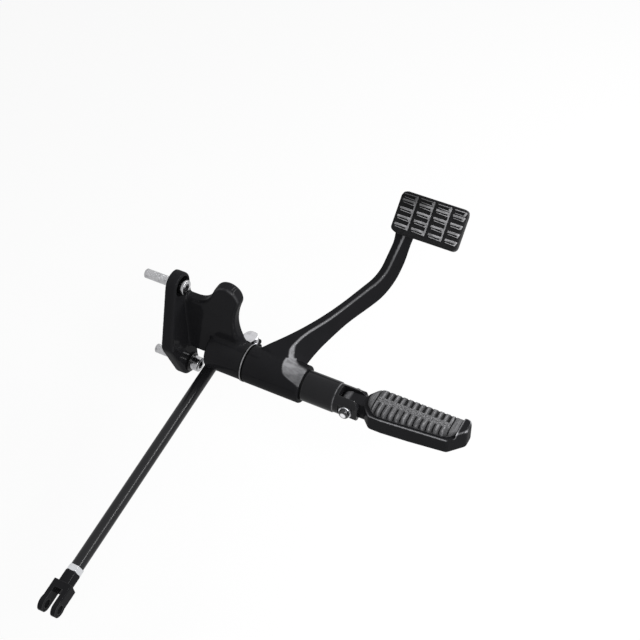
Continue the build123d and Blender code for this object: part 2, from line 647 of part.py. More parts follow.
def front_rod_end():
    """Eye with a threaded shank that screws into the rod."""
    eye = Rot(0, 90, 0) * Cylinder(ROD_END_RADIUS, ROD_END_WIDTH)
    eye = chamfer(eye.edges().filter_by(GeomType.CIRCLE), 0.8)
    shank = rod(ROD_THREAD_DIAMETER / 2, ROD_END_SHANK)
    neck = rod(ROD_END_NECK_DIAMETER / 2, ROD_END_NECK)
    race = Sphere(BALL_RADIUS + RUNNING_FIT)
    return rod_plane().location * (eye + shank + neck - race)


def front_rod_end_ball():
    """Ball with flat sides, held in the eye and clamped to the lever's lug."""
    ball = Sphere(BALL_RADIUS) & Box(BALL_WIDTH, 3 * BALL_RADIUS, 3 * BALL_RADIUS)
    ball -= Rot(0, 90, 0) * Cylinder(ROD_BOLT_DIAMETER / 2 + SCREW_FIT, BALL_WIDTH + 1)
    return Pos(ROD_LINE_X, ROD_PIN_FORWARD, PIVOT_Z - ROD_PIN_DROP) * ball


def at_rod_pin(x):
    """Place on the front pin's axis at x, with the local Z axis pointing inboard."""
    return Pos(x, ROD_PIN_FORWARD, PIVOT_Z - ROD_PIN_DROP) * Rot(0, -90, 0)


def rod_bolt():
    """Bolt through the ball and the lever's lug, with its head inboard."""
    grip = ROD_WASHER_THICKNESS + BALL_WIDTH + CRANK_LUG_THICKNESS
    length = grip + ROD_NUT_HEIGHT + ROD_BOLT_TIP
    bolt = hex_bolt(ROD_BOLT_DIAMETER, length, ROD_BOLT_ACROSS_FLATS, ROD_BOLT_HEAD)
    return at_rod_pin(ROD_LINE_X - BALL_WIDTH / 2 - ROD_WASHER_THICKNESS) * bolt


def rod_bolt_washer():
    """Washer between the bolt's head and the ball."""
    washer = ring(ROD_WASHER_DIAMETER, ROD_BOLT_DIAMETER + 2 * BOLT_CLEARANCE, ROD_WASHER_THICKNESS)
    return at_rod_pin(ROD_LINE_X - BALL_WIDTH / 2) * washer


def rod_bolt_nut():
    """Nut on the outboard side of the lever's lug."""
    nut = hex_nut(ROD_BOLT_DIAMETER, ROD_BOLT_ACROSS_FLATS, ROD_NUT_HEIGHT)
    return at_rod_pin(ROD_LINE_X + BALL_WIDTH / 2 + CRANK_LUG_THICKNESS + ROD_NUT_HEIGHT) * nut


def brake_rod():
    """Round rod, tapped at the front for the rod end and threaded at the rear for the clevis."""
    rear_end = ROD_PIN_TO_PIN - CLEVIS_LENGTH - JAM_NUT_HEIGHT
    length = rear_end - ROD_START
    bar = rod(ROD_DIAMETER / 2, length)
    bar = chamfer(bar.edges().filter_by(GeomType.CIRCLE), 1.0)
    tapped = ROD_END_SHANK - ROD_START + 1
    bar -= rod(ROD_THREAD_DIAMETER / 2 + SCREW_FIT, tapped)
    tail = rod(ROD_THREAD_DIAMETER / 2, JAM_NUT_HEIGHT + CLEVIS_NECK - 1)
    return along_rod(ROD_START) * (bar + Pos(0, 0, length) * tail)


def jam_nut(distance):
    """Jam nut on the rod's axis, with its front face at the given distance from the front pin."""
    return along_rod(distance) * hex_nut(ROD_THREAD_DIAMETER, JAM_NUT_ACROSS_FLATS, JAM_NUT_HEIGHT)


def rear_clevis():
    """Fork at the rod's rear end that straddles the master cylinder's lever."""
    ear_radius = CLEVIS_HEIGHT / 2
    body = Box(CLEVIS_WIDTH, CLEVIS_HEIGHT, CLEVIS_LENGTH - CLEVIS_NECK + 1,
               align=(Align.CENTER, Align.CENTER, Align.MAX))
    body = fillet(body.edges().filter_by(Axis.Z), 1.6)
    body += Rot(0, 90, 0) * Cylinder(ear_radius, CLEVIS_WIDTH)
    body += Pos(0, 0, -CLEVIS_LENGTH) * rod(CLEVIS_SHANK_DIAMETER / 2, CLEVIS_NECK + 1)
    slot = block(CLEVIS_GAP, CLEVIS_HEIGHT + 2, CLEVIS_SLOT_DEPTH + ear_radius + 1)
    body -= Pos(0, 0, -CLEVIS_SLOT_DEPTH) * slot
    body -= Rot(0, 90, 0) * Cylinder(CLEVIS_PIN_DIAMETER / 2 + RUNNING_FIT, CLEVIS_WIDTH + 2)
    body -= Pos(0, 0, -CLEVIS_LENGTH) * rod(ROD_THREAD_DIAMETER / 2 + SCREW_FIT, CLEVIS_NECK)
    return along_rod(ROD_PIN_TO_PIN) * body


# Peg support

def peg_support():
    """Barrel on the shaft's end, with a fork for the folding peg."""
    barrel = rod(SUPPORT_DIAMETER / 2, SUPPORT_BARREL_LENGTH)
    barrel = chamfer(barrel.edges().group_by(Axis.Z)[-1], 0.8)
    fork = rod(SUPPORT_FORK_DIAMETER / 2, SUPPORT_FORK_LENGTH)
    fork = chamfer(fork.edges().group_by(Axis.Z)[-1], 1.2)
    hinge_z = SUPPORT_BARREL_LENGTH + SUPPORT_FORK_LENGTH - HINGE_TO_FORK_END
    floor_z = SLOT_FLOOR_DEPTH
    tip = block(SUPPORT_DIAMETER, SUPPORT_DIAMETER, HINGE_TO_FORK_END)
    tip -= Rot(90, 0, 0) * Cylinder(SUPPORT_EAR_RADIUS, SUPPORT_DIAMETER)
    fork -= Pos(0, 0, SUPPORT_FORK_LENGTH - HINGE_TO_FORK_END) * tip
    slot = block(SUPPORT_DIAMETER + 2, SLOT_WIDTH, SUPPORT_FORK_LENGTH + SUPPORT_BARREL_LENGTH)
    body = barrel + Pos(0, 0, SUPPORT_BARREL_LENGTH) * fork - Pos(0, 0, floor_z) * slot
    flat_length = SUPPORT_BARREL_LENGTH + SUPPORT_FORK_LENGTH - hinge_z + HINGE_HEAD_DIAMETER / 2 + 2.5
    for side in (1, -1):
        flat = Box(SUPPORT_DIAMETER, 4, flat_length, align=(Align.CENTER, Align.MIN, Align.MAX))
        if side < 0:
            flat = Rot(0, 0, 180) * flat
        body -= Pos(0, side * SUPPORT_FLAT_HALF_WIDTH, SUPPORT_BARREL_LENGTH + SUPPORT_FORK_LENGTH) * flat
    pin_bore = Rot(90, 0, 0) * Cylinder(HINGE_PIN_DIAMETER / 2 + RUNNING_FIT, SUPPORT_DIAMETER)
    body -= Pos(0, 0, hinge_z) * pin_bore
    body -= rod(SHAFT_RADIUS + SCREW_FIT, SUPPORT_SOCKET_DEPTH)
    body -= rod(SUPPORT_BOLT_DIAMETER / 2 + BOLT_CLEARANCE, SUPPORT_BARREL_LENGTH)
    recess_z = SUPPORT_BOLT_SEAT
    recess = rod(SUPPORT_BOLT_HEAD_DIAMETER / 2 + BOLT_CLEARANCE, floor_z - recess_z + 0.1)
    body -= Pos(0, 0, recess_z) * recess
    grub_hole = Rot(0, 90, 0) * rod(GRUB_SCREW_DIAMETER / 2 + SCREW_FIT, SUPPORT_DIAMETER)
    body -= Pos(0, 0, GRUB_SCREW_INSET) * grub_hole
    return on_shaft(SUPPORT_X) * body


def support_bolt():
    """Socket head screw that pulls the support onto the shaft, sunk below the fork's floor."""
    screw = cap_screw(SUPPORT_BOLT_DIAMETER, SUPPORT_BOLT_LENGTH, SUPPORT_BOLT_HEAD_DIAMETER,
                      SUPPORT_BOLT_HEAD, SUPPORT_BOLT_KEY)
    return on_shaft(SHAFT_END_X + SUPPORT_WALL + LOCK_WASHER_THICKNESS) * screw


def support_lock_washer():
    """Split lock washer under the support bolt's head."""
    washer = ring(LOCK_WASHER_DIAMETER, SUPPORT_BOLT_DIAMETER + 2 * BOLT_CLEARANCE,
                  LOCK_WASHER_THICKNESS)
    washer -= Rot(0, 0, 20) * Pos(LOCK_WASHER_DIAMETER / 2, 0, 0) * block(LOCK_WASHER_DIAMETER, 1.0, 4)
    return on_shaft(SHAFT_END_X + SUPPORT_WALL) * washer


def support_grub_screw():
    """Grub screw from below that keeps the support from turning on the shaft."""
    length = SUPPORT_DIAMETER / 2 - SHAFT_RADIUS - 0.6
    screw = rod(GRUB_SCREW_DIAMETER / 2, length)
    socket = extrude(RegularPolygon(GRUB_SCREW_KEY / 2, 6, major_radius=False), length * 0.6)
    screw -= Pos(0, 0, length * 0.4) * socket
    return Pos(SUPPORT_X + GRUB_SCREW_INSET, 0, PIVOT_Z - SHAFT_RADIUS) * Rot(180, 0, 0) * screw


# Footpeg hinge

def at_hinge(y):
    """Place on the hinge's axis at y, with the local Z axis pointing to the rear."""
    return Pos(HINGE_X, y, PIVOT_Z) * Rot(90, 0, 0)


def hinge_pin():
    """Headed pin, with its domed head to the rear and a clip groove at the front."""
    length = 2 * SUPPORT_FLAT_HALF_WIDTH + HINGE_PIN_TAIL + HEAD_WASHER_THICKNESS
    pin = rod(HINGE_PIN_DIAMETER / 2, length)
    pin = chamfer(pin.edges().group_by(Axis.Z)[0], 0.6)
    head = Pos(0, 0, length) * rod(HINGE_HEAD_DIAMETER / 2, HINGE_HEAD_HEIGHT)
    head = fillet(head.edges().group_by(Axis.Z)[-1], HINGE_HEAD_HEIGHT * 0.6)
    groove_z = HINGE_PIN_TAIL - CLIP_THICKNESS - SIDE_PLAY - PIECE_GAP
    groove = ring(HINGE_PIN_DIAMETER + 1, HINGE_PIN_DIAMETER - 2 * CLIP_GROOVE_DEPTH,
                  CLIP_THICKNESS + 2 * PIECE_GAP)
    return at_hinge(SUPPORT_FLAT_HALF_WIDTH + HINGE_PIN_TAIL) * (pin + head - Pos(0, 0, groove_z) * groove)


def hinge_pin_washer():
    """Washer between the pin's head and the rear ear."""
    washer = ring(HEAD_WASHER_DIAMETER, HINGE_PIN_DIAMETER + 2 * BOLT_CLEARANCE, HEAD_WASHER_THICKNESS)
    return at_hinge(-SUPPORT_FLAT_HALF_WIDTH) * washer


def hinge_pin_clip():
    """Open snap ring in the pin's groove."""
    bore = HINGE_PIN_DIAMETER - 2 * CLIP_GROOVE_DEPTH + 2 * PIECE_GAP
    clip = ring(CLIP_DIAMETER, bore, CLIP_THICKNESS)
    reach = CLIP_DIAMETER
    half = math.radians(CLIP_MOUTH_ANGLE / 2)
    mouth = Polyline((0, 0), (reach * math.cos(half), reach * math.sin(half)),
                     (reach * math.cos(half), -reach * math.sin(half)), close=True)
    clip -= extrude(make_face(mouth), CLIP_THICKNESS)
    return at_hinge(SUPPORT_FLAT_HALF_WIDTH + SIDE_PLAY + CLIP_THICKNESS) * Rot(0, 0, 90) * clip


def hinge_spring_washer():
    """Thin washer that takes up the play between the tang and the front ear."""
    washer = ring(HINGE_PIN_DIAMETER * 2, HINGE_PIN_DIAMETER + 2 * BOLT_CLEARANCE, SPRING_WASHER_THICKNESS)
    return at_hinge(SLOT_WIDTH / 2 - HINGE_GAP / 2) * washer


# Footpeg

def peg_place():
    """Frame of the peg: its origin lies on the hinge's axis."""
    return Pos(HINGE_X, 0, PIVOT_Z)


def peg_plan(inset):
    """Rounded outline of the peg seen from above, drawn in by a margin at its rear side and its ends."""
    end = PEG_START + PEG_LENGTH - inset
    start = PEG_START + inset
    front = PEG_FRONT - inset / 2
    corners = Polyline((start, front - PEG_INNER_CUT), (start + PEG_INNER_CUT * 0.7, front),
                       (end, front), (end, PEG_END_REAR + inset / 2),
                       (end - PEG_END_CUT, -PEG_REAR_TIP + inset),
                       (start + 2.2 * PEG_INNER_CUT, -PEG_REAR + inset),
                       (start + PEG_INNER_CUT, -PEG_REAR + inset),
                       (start, -PEG_REAR + PEG_INNER_CUT + inset), close=True)
    outline = make_face(corners)
    return fillet(outline.vertices(), PEG_EDGE - inset / 3)


def peg_envelope():
    """Outer shape of the tray and its lip, with rounded edges."""
    end = PEG_START + PEG_LENGTH
    side = Polyline((PEG_START, PEG_TOP), (end, PEG_TOP), (end, -PEG_BOTTOM_TIP),
                    (PEG_START + PEG_LENGTH / 2, -PEG_BOTTOM), (PEG_START, -PEG_BOTTOM), close=True)
    plan_solid = Pos(0, 0, -PEG_BOTTOM - 1) * extrude(peg_plan(0), PEG_TOP + PEG_BOTTOM + 2)
    side_solid = Pos(0, PEG_FRONT + 1, 0) * extrude(Plane.XZ * make_face(side), PEG_FRONT + PEG_REAR + 2)
    body = plan_solid & side_solid
    low = body.edges().filter_by(lambda edge: edge.center().Z < -PEG_BOTTOM_TIP + 0.1)
    low = low.filter_by(lambda edge: abs(edge.tangent_at(0.5).Y) < 0.9 or edge.length < PEG_FRONT)
    body = fillet(low, PEG_LOWER_EDGE)
    return fillet(body.edges().group_by(Axis.Z)[-1], LIP_CROWN)


def tread_space():
    """Room above the tray's rim for the rubber, from the inner end to the lip."""
    length = PEG_LENGTH - LIP_LENGTH + 1
    space = Box(length, 3 * PEG_FRONT, PEG_TOP, align=(Align.MIN, Align.CENTER, Align.MIN))
    return Pos(PEG_START - 1, 0, RIM_HEIGHT) * space


def tray_hollow():
    """Hollow under the tray's deck, clear of the solid root of the tang."""
    depth = PEG_BOTTOM + RIM_HEIGHT - DECK_THICKNESS
    hollow = Pos(0, 0, -PEG_BOTTOM) * extrude(peg_plan(TRAY_WALL), depth)
    return hollow & Pos(PEG_START + TANG_ROOT, 0, 0) * Box(
        2 * PEG_LENGTH, 4 * PEG_FRONT, 4 * PEG_TOP, align=(Align.MIN, Align.CENTER, Align.CENTER))


def tread_block():
    """Rubber block without its grooves: inset from the tray's rim, with a rounded crown."""
    tread = Pos(0, 0, RIM_HEIGHT) * extrude(peg_plan(RUBBER_INSET), PEG_TOP - RIM_HEIGHT)
    lip_x = PEG_START + PEG_LENGTH - LIP_LENGTH - LIP_GAP
    tread &= Pos(lip_x, 0, 0) * Box(2 * PEG_LENGTH, 4 * PEG_FRONT, 4 * PEG_TOP,
                                    align=(Align.MAX, Align.CENTER, Align.CENTER))
    return fillet(tread.edges().group_by(Axis.Z)[-1], RUBBER_CROWN)


def rubber_core():
    """Raised middle of the tray that the rubber sits over."""
    start = PEG_START + 2 * CORE_INSET
    length = PEG_LENGTH - LIP_LENGTH - 3 * CORE_INSET
    rear = PEG_REAR_TIP - CORE_INSET
    core = Box(length, PEG_FRONT - CORE_INSET + rear, CORE_HEIGHT,
               align=(Align.MIN, Align.MIN, Align.MIN))
    return Pos(start, -rear, RIM_HEIGHT) * core


def peg_screw_places():
    """Middles of the two screws that hold the rubber."""
    centre_y = (PEG_FRONT - PEG_REAR_TIP) / 2 - 1
    return [Pos(PEG_SCREW_START + side * PEG_SCREW_SPACING, centre_y, 0) for side in (0, 1)]


def tang():
    """Tongue that turns between the fork's ears, with a square heel that stops the peg when level."""
    heel = HINGE_TO_SLOT_FLOOR - HEEL_GAP
    eye = Rot(90, 0, 0) * Cylinder(heel, TANG_THICKNESS)
    foot = Box(heel, TANG_THICKNESS, heel, align=(Align.MAX, Align.CENTER, Align.MAX))
    neck = Box(PEG_START + 4, TANG_THICKNESS, 2 * heel, align=(Align.MIN, Align.CENTER, Align.CENTER))
    neck = fillet(neck.edges().filter_by(Axis.Y).sort_by(Axis.X)[:2], 1.0)
    foot = chamfer(foot.edges().filter_by(Axis.Y).sort_by(Axis.X)[0], 0.6)
    return Pos(0, TANG_CENTRE_Y, 0) * (eye + foot + neck)


def footpeg_body():
    """Cast tray with tang, raised middle and outer lip, one piece."""
    body = peg_envelope() - tread_space() + rubber_core() - tray_hollow()
    limit = Box(2 * (PEG_START + TANG_ROOT), TANG_THICKNESS, 2 * PEG_TOP)
    body += tang() & limit
    body -= Rot(90, 0, 0) * Cylinder(HINGE_PIN_DIAMETER / 2 + RUNNING_FIT, PEG_REAR * 3)
    for place in peg_screw_places():
        body -= place * rod(PEG_SCREW_DIAMETER / 2 + BOLT_CLEARANCE, 2 * PEG_TOP)
    return peg_place() * body


def rib_grooves():
    """Grooves across the tread that stop short of its middle band and run down both sides."""
    foot = RIM_HEIGHT + RIB_FOOT
    middle = PEG_START + RUBBER_INSET + (PEG_LENGTH - LIP_LENGTH - RUBBER_INSET) / 2
    first = middle - (RIB_COUNT - 1) / 2 * RIB_PITCH
    height = PEG_TOP - foot + 1
    grooves = Part()
    for rib in range(RIB_COUNT):
        slab = block(RIB_GROOVE, 3 * PEG_FRONT, height)
        grooves += Pos(first + rib * RIB_PITCH, 0, foot) * slab
    inner = extrude(peg_plan(RUBBER_INSET + RIB_DEPTH), PEG_TOP - RIB_DEPTH - foot)
    grooves -= Pos(0, 0, foot) * inner
    band = block(3 * PEG_LENGTH, 2 * BAND_HALF_WIDTH, height)
    return grooves - Pos(middle, BAND_OFFSET, foot) * band


def screw_seat():
    """Height of the screws' heads, against the underside of the tray's deck."""
    return RIM_HEIGHT - DECK_THICKNESS


def footpeg_rubber():
    """Rubber tread with ribs across it on both sides of a smooth middle band."""
    body = tread_block() - rubber_core() - rib_grooves()
    for place in peg_screw_places():
        hole = rod(PEG_SCREW_DIAMETER / 2 + PIECE_GAP, PEG_SCREW_LENGTH + PIECE_GAP)
        body -= place * Pos(0, 0, screw_seat()) * hole
    return peg_place() * body


def footpeg_rubber_screws():
    """Two screws that come up through the tray into the rubber's moulded nuts."""
    screws = Part()
    for place in peg_screw_places():
        screw = Rot(180, 0, 0) * cap_screw(PEG_SCREW_DIAMETER, PEG_SCREW_LENGTH, PEG_SCREW_HEAD_DIAMETER,
                                           PEG_SCREW_HEAD, PEG_SCREW_DIAMETER * 0.6)
        screws += place * Pos(0, 0, screw_seat()) * screw
    return peg_place() * screws


NODES = {
    "mounting_bracket": mounting_bracket,
    "upper_frame_bolt": lambda: frame_bolt(1),
    "lower_frame_bolt": lambda: frame_bolt(-1),
    "upper_frame_washer": lambda: frame_washer(1),
    "lower_frame_washer": lambda: frame_washer(-1),
    "pinch_bolt": pinch_bolt,
    "pinch_bolt_washer": pinch_bolt_washer,
    "pivot_shaft": pivot_shaft,
    "thrust_washer": thrust_washer,
    "outer_washer": outer_washer,
    "brake_lever": brake_lever,
    "inner_hub_bush": lambda: hub_bush(HUB_X),
    "outer_hub_bush": lambda: hub_bush(HUB_END_X - BUSH_LENGTH),
    "pedal_rubber": pedal_rubber_clear_of_arm,
    "front_rod_end": front_rod_end,
    "front_rod_end_ball": front_rod_end_ball,
    "rod_bolt": rod_bolt,
    "rod_bolt_washer": rod_bolt_washer,
    "rod_bolt_nut": rod_bolt_nut,
    "front_jam_nut": lambda: jam_nut(ROD_START - JAM_NUT_HEIGHT),
    "brake_rod": brake_rod,
    "rear_jam_nut": lambda: jam_nut(ROD_PIN_TO_PIN - CLEVIS_LENGTH - JAM_NUT_HEIGHT),
    "rear_clevis": rear_clevis,
    "peg_support": peg_support,
    "support_bolt": support_bolt,
    "support_lock_washer": support_lock_washer,
    "support_grub_screw": support_grub_screw,
    "hinge_pin": hinge_pin,
    "hinge_pin_washer": hinge_pin_washer,
    "hinge_pin_clip": hinge_pin_clip,
    "hinge_spring_washer": hinge_spring_washer,
    "footpeg_body": footpeg_body,
    "footpeg_rubber": footpeg_rubber,
    "footpeg_rubber_screws": footpeg_rubber_screws,
}


os.makedirs("parts", exist_ok=True)
for name, make in NODES.items():
    export_step(make(), f"parts/{name}.step")
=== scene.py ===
import json
import math
from contextlib import contextmanager

import bmesh
import bpy
from bpy.props import FloatProperty, FloatVectorProperty, IntProperty, PointerProperty
from mathutils import Matrix, Vector


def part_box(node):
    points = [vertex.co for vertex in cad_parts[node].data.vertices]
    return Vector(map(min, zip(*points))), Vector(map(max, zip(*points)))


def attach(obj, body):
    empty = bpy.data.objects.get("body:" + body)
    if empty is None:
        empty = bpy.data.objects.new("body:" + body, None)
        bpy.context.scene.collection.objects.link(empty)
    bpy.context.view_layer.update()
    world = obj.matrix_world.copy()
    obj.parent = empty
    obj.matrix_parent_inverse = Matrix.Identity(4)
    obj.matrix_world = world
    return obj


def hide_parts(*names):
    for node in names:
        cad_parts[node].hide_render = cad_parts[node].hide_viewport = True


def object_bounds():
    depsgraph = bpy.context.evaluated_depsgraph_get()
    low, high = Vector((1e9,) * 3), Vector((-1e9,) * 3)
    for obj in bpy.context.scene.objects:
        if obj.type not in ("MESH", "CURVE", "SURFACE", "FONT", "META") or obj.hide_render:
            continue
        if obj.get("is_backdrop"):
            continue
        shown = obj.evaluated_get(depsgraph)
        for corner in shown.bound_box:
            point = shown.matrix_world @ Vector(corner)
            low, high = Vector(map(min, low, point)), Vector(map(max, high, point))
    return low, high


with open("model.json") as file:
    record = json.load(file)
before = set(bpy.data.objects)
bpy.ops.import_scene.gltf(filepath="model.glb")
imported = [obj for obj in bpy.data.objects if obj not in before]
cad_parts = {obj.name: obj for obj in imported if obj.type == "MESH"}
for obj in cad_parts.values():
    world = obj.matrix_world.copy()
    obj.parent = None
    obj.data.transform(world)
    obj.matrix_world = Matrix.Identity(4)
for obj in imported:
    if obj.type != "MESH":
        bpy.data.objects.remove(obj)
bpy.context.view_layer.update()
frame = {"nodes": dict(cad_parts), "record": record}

bl_info = {
    "name": "Forward Brake Control Looks",
    "version": (1, 0, 0),
    "blender": (4, 5, 0),
    "location": "View3D > Sidebar > Brake Control",
    "description": "Dresses a packed forward brake control with rubber, paint, plate, threads and a studio",
    "category": "Object",
}

MM = 0.001

# Places on the CAD model, in millimetres
SHAFT_Z = -20.0
HUB_RANGE = (76.2, 133.8)
SCOOP_START = 106.0
HINGE = (180.0, 0.0, SHAFT_Z)
PAD_FACE = (182.8, 150.4, 76.9)
FRAME_BOLT_Z = 50.0
THRUST_WASHER_X = 75.1
SUPPORT_RING_X = 167.2
ROD_PIN = (30.0, 32.0, -48.1)
ROD_SLOPE = math.radians(7.2)

# Threads: radius over the ridge and pitch, in millimetres
FRAME_THREAD = (4.56, 1.5)
ROD_THREAD = (4.06, 1.25)


# Materials

class Signal:
    """One output of a node, which can be used in Python expressions."""

    def __init__(self, nodes, socket):
        self.nodes = nodes
        self.socket = socket

    def maths(self, operation, *others):
        """Math node with this signal as its first value."""
        return self.nodes.add("ShaderNodeMath", {"operation": operation}, dict(enumerate((self, *others))))

    def __add__(self, other):
        return self.maths("ADD", other)

    def __sub__(self, other):
        return self.maths("SUBTRACT", other)

    def __rsub__(self, other):
        return self.nodes.add("ShaderNodeMath", {"operation": "SUBTRACT"}, {0: other, 1: self})

    def __mul__(self, other):
        return self.maths("MULTIPLY", other)

    __radd__ = __add__
    __rmul__ = __mul__


class Nodes:
    """Nodes of a material or of the world."""

    def __init__(self, tree):
        self.tree = tree

    def add(self, kind, settings=None, sockets=None, output=0):
        """Adds a node, sets it, feeds its sockets and returns one of its outputs."""
        node = self.tree.nodes.new(kind)
        for setting, value in (settings or {}).items():
            setattr(node, setting, value)
        for name, value in (sockets or {}).items():
            self.feed(node.inputs[name], value)
        return Signal(self, node.outputs[output])

    def feed(self, socket, value):
        """Links a signal to a socket, or sets the socket's own value."""
        if isinstance(value, Signal):
            self.tree.links.new(value.socket, socket)
        else:
            socket.default_value = value

    def seen(self):
        """1 for the rays from the camera and from metal and glass, and 0 for all others."""
        rays = [self.add("ShaderNodeLightPath", output=ray) for ray in
                ("Is Camera Ray", "Is Glossy Ray", "Is Transmission Ray")]
        return (rays[0] + rays[1] + rays[2]).maths("MINIMUM", 1.0)


class Paint(Nodes):
    """A material whose shader is fed by nodes."""

    def __init__(self, name):
        self.material = bpy.data.materials.new(name)
        self.material.use_nodes = True
        super().__init__(self.material.node_tree)
        self.shader = self.tree.nodes["Principled BSDF"]
        self.place = self.add("ShaderNodeTexCoord", output="Object")

    def set(self, **values):
        """Feeds the shader's sockets, named with underscores for spaces."""
        for name, value in values.items():
            self.feed(self.shader.inputs[name.replace("_", " ")], value)

    def noise(self, size, detail, stretch=(1, 1, 1)):
        """Soft noise between 0 and 1 whose patches are about size metres across."""
        place = self.add("ShaderNodeMapping", None, {"Vector": self.place, "Scale": stretch})
        return self.add("ShaderNodeTexNoise", None,
                        {"Vector": place, "Scale": 1 / size, "Detail": detail, "Roughness": 0.55})

    def step(self, signal, low, high, start=0.0, end=1.0):
        """Goes smoothly from start to end while the signal goes from low to high."""
        return self.add("ShaderNodeMapRange", {"interpolation_type": "SMOOTHSTEP"},
                        {0: signal, 1: low, 2: high, 3: start, 4: end})

    def blend(self, share, first, second):
        """Colour between two colours."""
        return self.add("ShaderNodeMix", {"data_type": "RGBA"}, {0: share, 6: first, 7: second}, output=2)

    def along(self, axis):
        """Distance from the object's origin along an axis."""
        return self.add("ShaderNodeSeparateXYZ", None, {0: self.place}, output=axis)

    def marked(self, name):
        """Number that the piece's vertices carry under a name."""
        return self.add("ShaderNodeAttribute", {"attribute_name": name}, output="Fac")

    def near(self, distance, inner, outer):
        """1 where a distance is under the inner one and 0 where it is over the outer one."""
        return self.step(distance.maths("ABSOLUTE"), inner, outer, 1.0, 0.0)

    def edges(self, radius):
        """1 on the edges of the piece and 0 on its flat and gently curved faces."""
        soft = self.add("ShaderNodeBevel", {"samples": 6}, {"Radius": radius})
        true = self.add("ShaderNodeNewGeometry", output="Normal")
        along = self.add("ShaderNodeVectorMath", {"operation": "DOT_PRODUCT"}, {0: soft, 1: true}, output=1)
        return self.step(1 - along, 0.012, 0.09)

    def bump(self, height, distance, strength, radius):
        """Feeds the shader's normal from a height, over edges that look rounded to a radius."""
        edges = self.add("ShaderNodeBevel", {"samples": 8}, {"Radius": radius})
        sockets = {"Height": height, "Distance": distance, "Strength": strength, "Normal": edges}
        self.set(Normal=self.add("ShaderNodeBump", None, sockets))


def colour(rgb):
    """Colour with full alpha."""
    return (rgb[0], rgb[1], rgb[2], 1.0)


def lighter(rgb, factor):
    """Colour scaled by a factor."""
    return colour([min(1.0, part * factor) for part in rgb])


def gloss_black(name, rgb, buffed, grain, grain_height, gloss=0.13, worn_and_lit=0.75, ring=None, haze=0.07):
    """Gloss black paint over a cast or forged skin, glossier on its edges, with a painted highlight on marked
    ridges and a painted reflection on marked patches, partly paint that boots buff to a satin grey.

    The ridge and buffed marks of the pieces show where, and a ring is a painted highlight line round the
    shaft's axis."""
    paint = Paint(name)
    edge = paint.edges(0.9 * MM)
    film = paint.noise(18 * MM, 3)
    chips_and_glints = paint.step(paint.noise(6 * MM, 4), 0.38, 0.7)
    skin = paint.blend(film, colour(rgb), lighter(rgb, 1.35))
    # Lighter flecks along the edges: chipped paint and a painted highlight
    skin = paint.blend(edge * chips_and_glints * 0.7, skin, lighter(rgb, 4.0))
    # Painted highlight: a thin lighter line round the shaft's axis
    if ring:
        line = paint.near(paint.along(0) - ring, 0.25 * MM, 0.6 * MM)
        skin = paint.blend(line * paint.step(paint.noise(7 * MM, 2), 0.3, 0.6) * 0.5, skin, colour(buffed))
    # Painted highlight along the ridge marks and painted reflection on the patch marks, partly paint that
    # boots buff
    ridge = paint.marked("ridge")
    patch = paint.marked("buffed")
    streaks = paint.step(paint.noise(4 * MM, 4, stretch=(0.5, 1, 1)), 0.3, 0.7, 0.55, 1.0)
    edge = (edge + ridge).maths("MINIMUM", 1.0)
    skin = paint.blend(ridge, skin, lighter(buffed, worn_and_lit))
    skin = paint.blend(patch * streaks, skin, colour(buffed))
    rough = paint.step(film, 0.3, 0.7, 0.26, 0.36) + patch * 0.2
    paint.set(Base_Color=skin, Roughness=rough, Specular_IOR_Level=0.0)
    paint.set(Coat_Weight=edge * 0.6 + gloss, Coat_Roughness=haze, Coat_IOR=1.33)
    pores = paint.noise(grain, 3) * 0.7 + paint.noise(grain * 3.5, 2)
    paint.bump(pores, grain_height, 0.3, 0.35 * MM)
    return paint.material


def finish_rubber(paint, rgb, rubbed_and_lit, rubbed_and_lit_share, streaks, shine):
    """Gives rubber its colour, grey in some places from dust, wear and painted highlight, darker where
    marked, and its dull sheen and grain.
    """
    body = paint.blend(paint.step(paint.noise(9 * MM, 4), 0.3, 0.7), colour(rgb), lighter(rgb, 1.25))
    # Grey from dust and wear, and on bars and ribs also a painted highlight
    body = paint.blend(rubbed_and_lit_share, body, colour(rubbed_and_lit))
    paint.set(Base_Color=paint.blend(paint.marked("upper_inboard_darkening"), body, lighter(rgb, 0.22)))
    paint.set(Roughness=paint.step(paint.noise(3 * MM, 3), 0.3, 0.7, 0.5, 0.66) - streaks * 0.06)
    paint.set(Specular_IOR_Level=shine, Sheen_Weight=shine * 0.14, Sheen_Roughness=0.5)
    grain = paint.noise(0.35 * MM, 3) + paint.noise(1.6 * MM, 2) * 0.8
    paint.bump(grain, 0.05 * MM, 0.5, 0.25 * MM)
    return paint.material


def moulded_rubber(name, rgb, rubbed_and_lit, streak, shine):
    """Matte moulded rubber with a fine grain, streaked with grey where soles rub it: wear and dust, and on
    the tops of the pad's bars also a painted highlight.
    """
    paint = Paint(name)
    streaks = paint.step(paint.noise(1.6 * MM, 3, stretch=streak), 0.38, 0.62)
    rubbed_and_lit_share = paint.edges(0.8 * MM) * 0.3 + streaks * 0.6
    return finish_rubber(paint, rgb, rubbed_and_lit, rubbed_and_lit_share, streaks, shine)


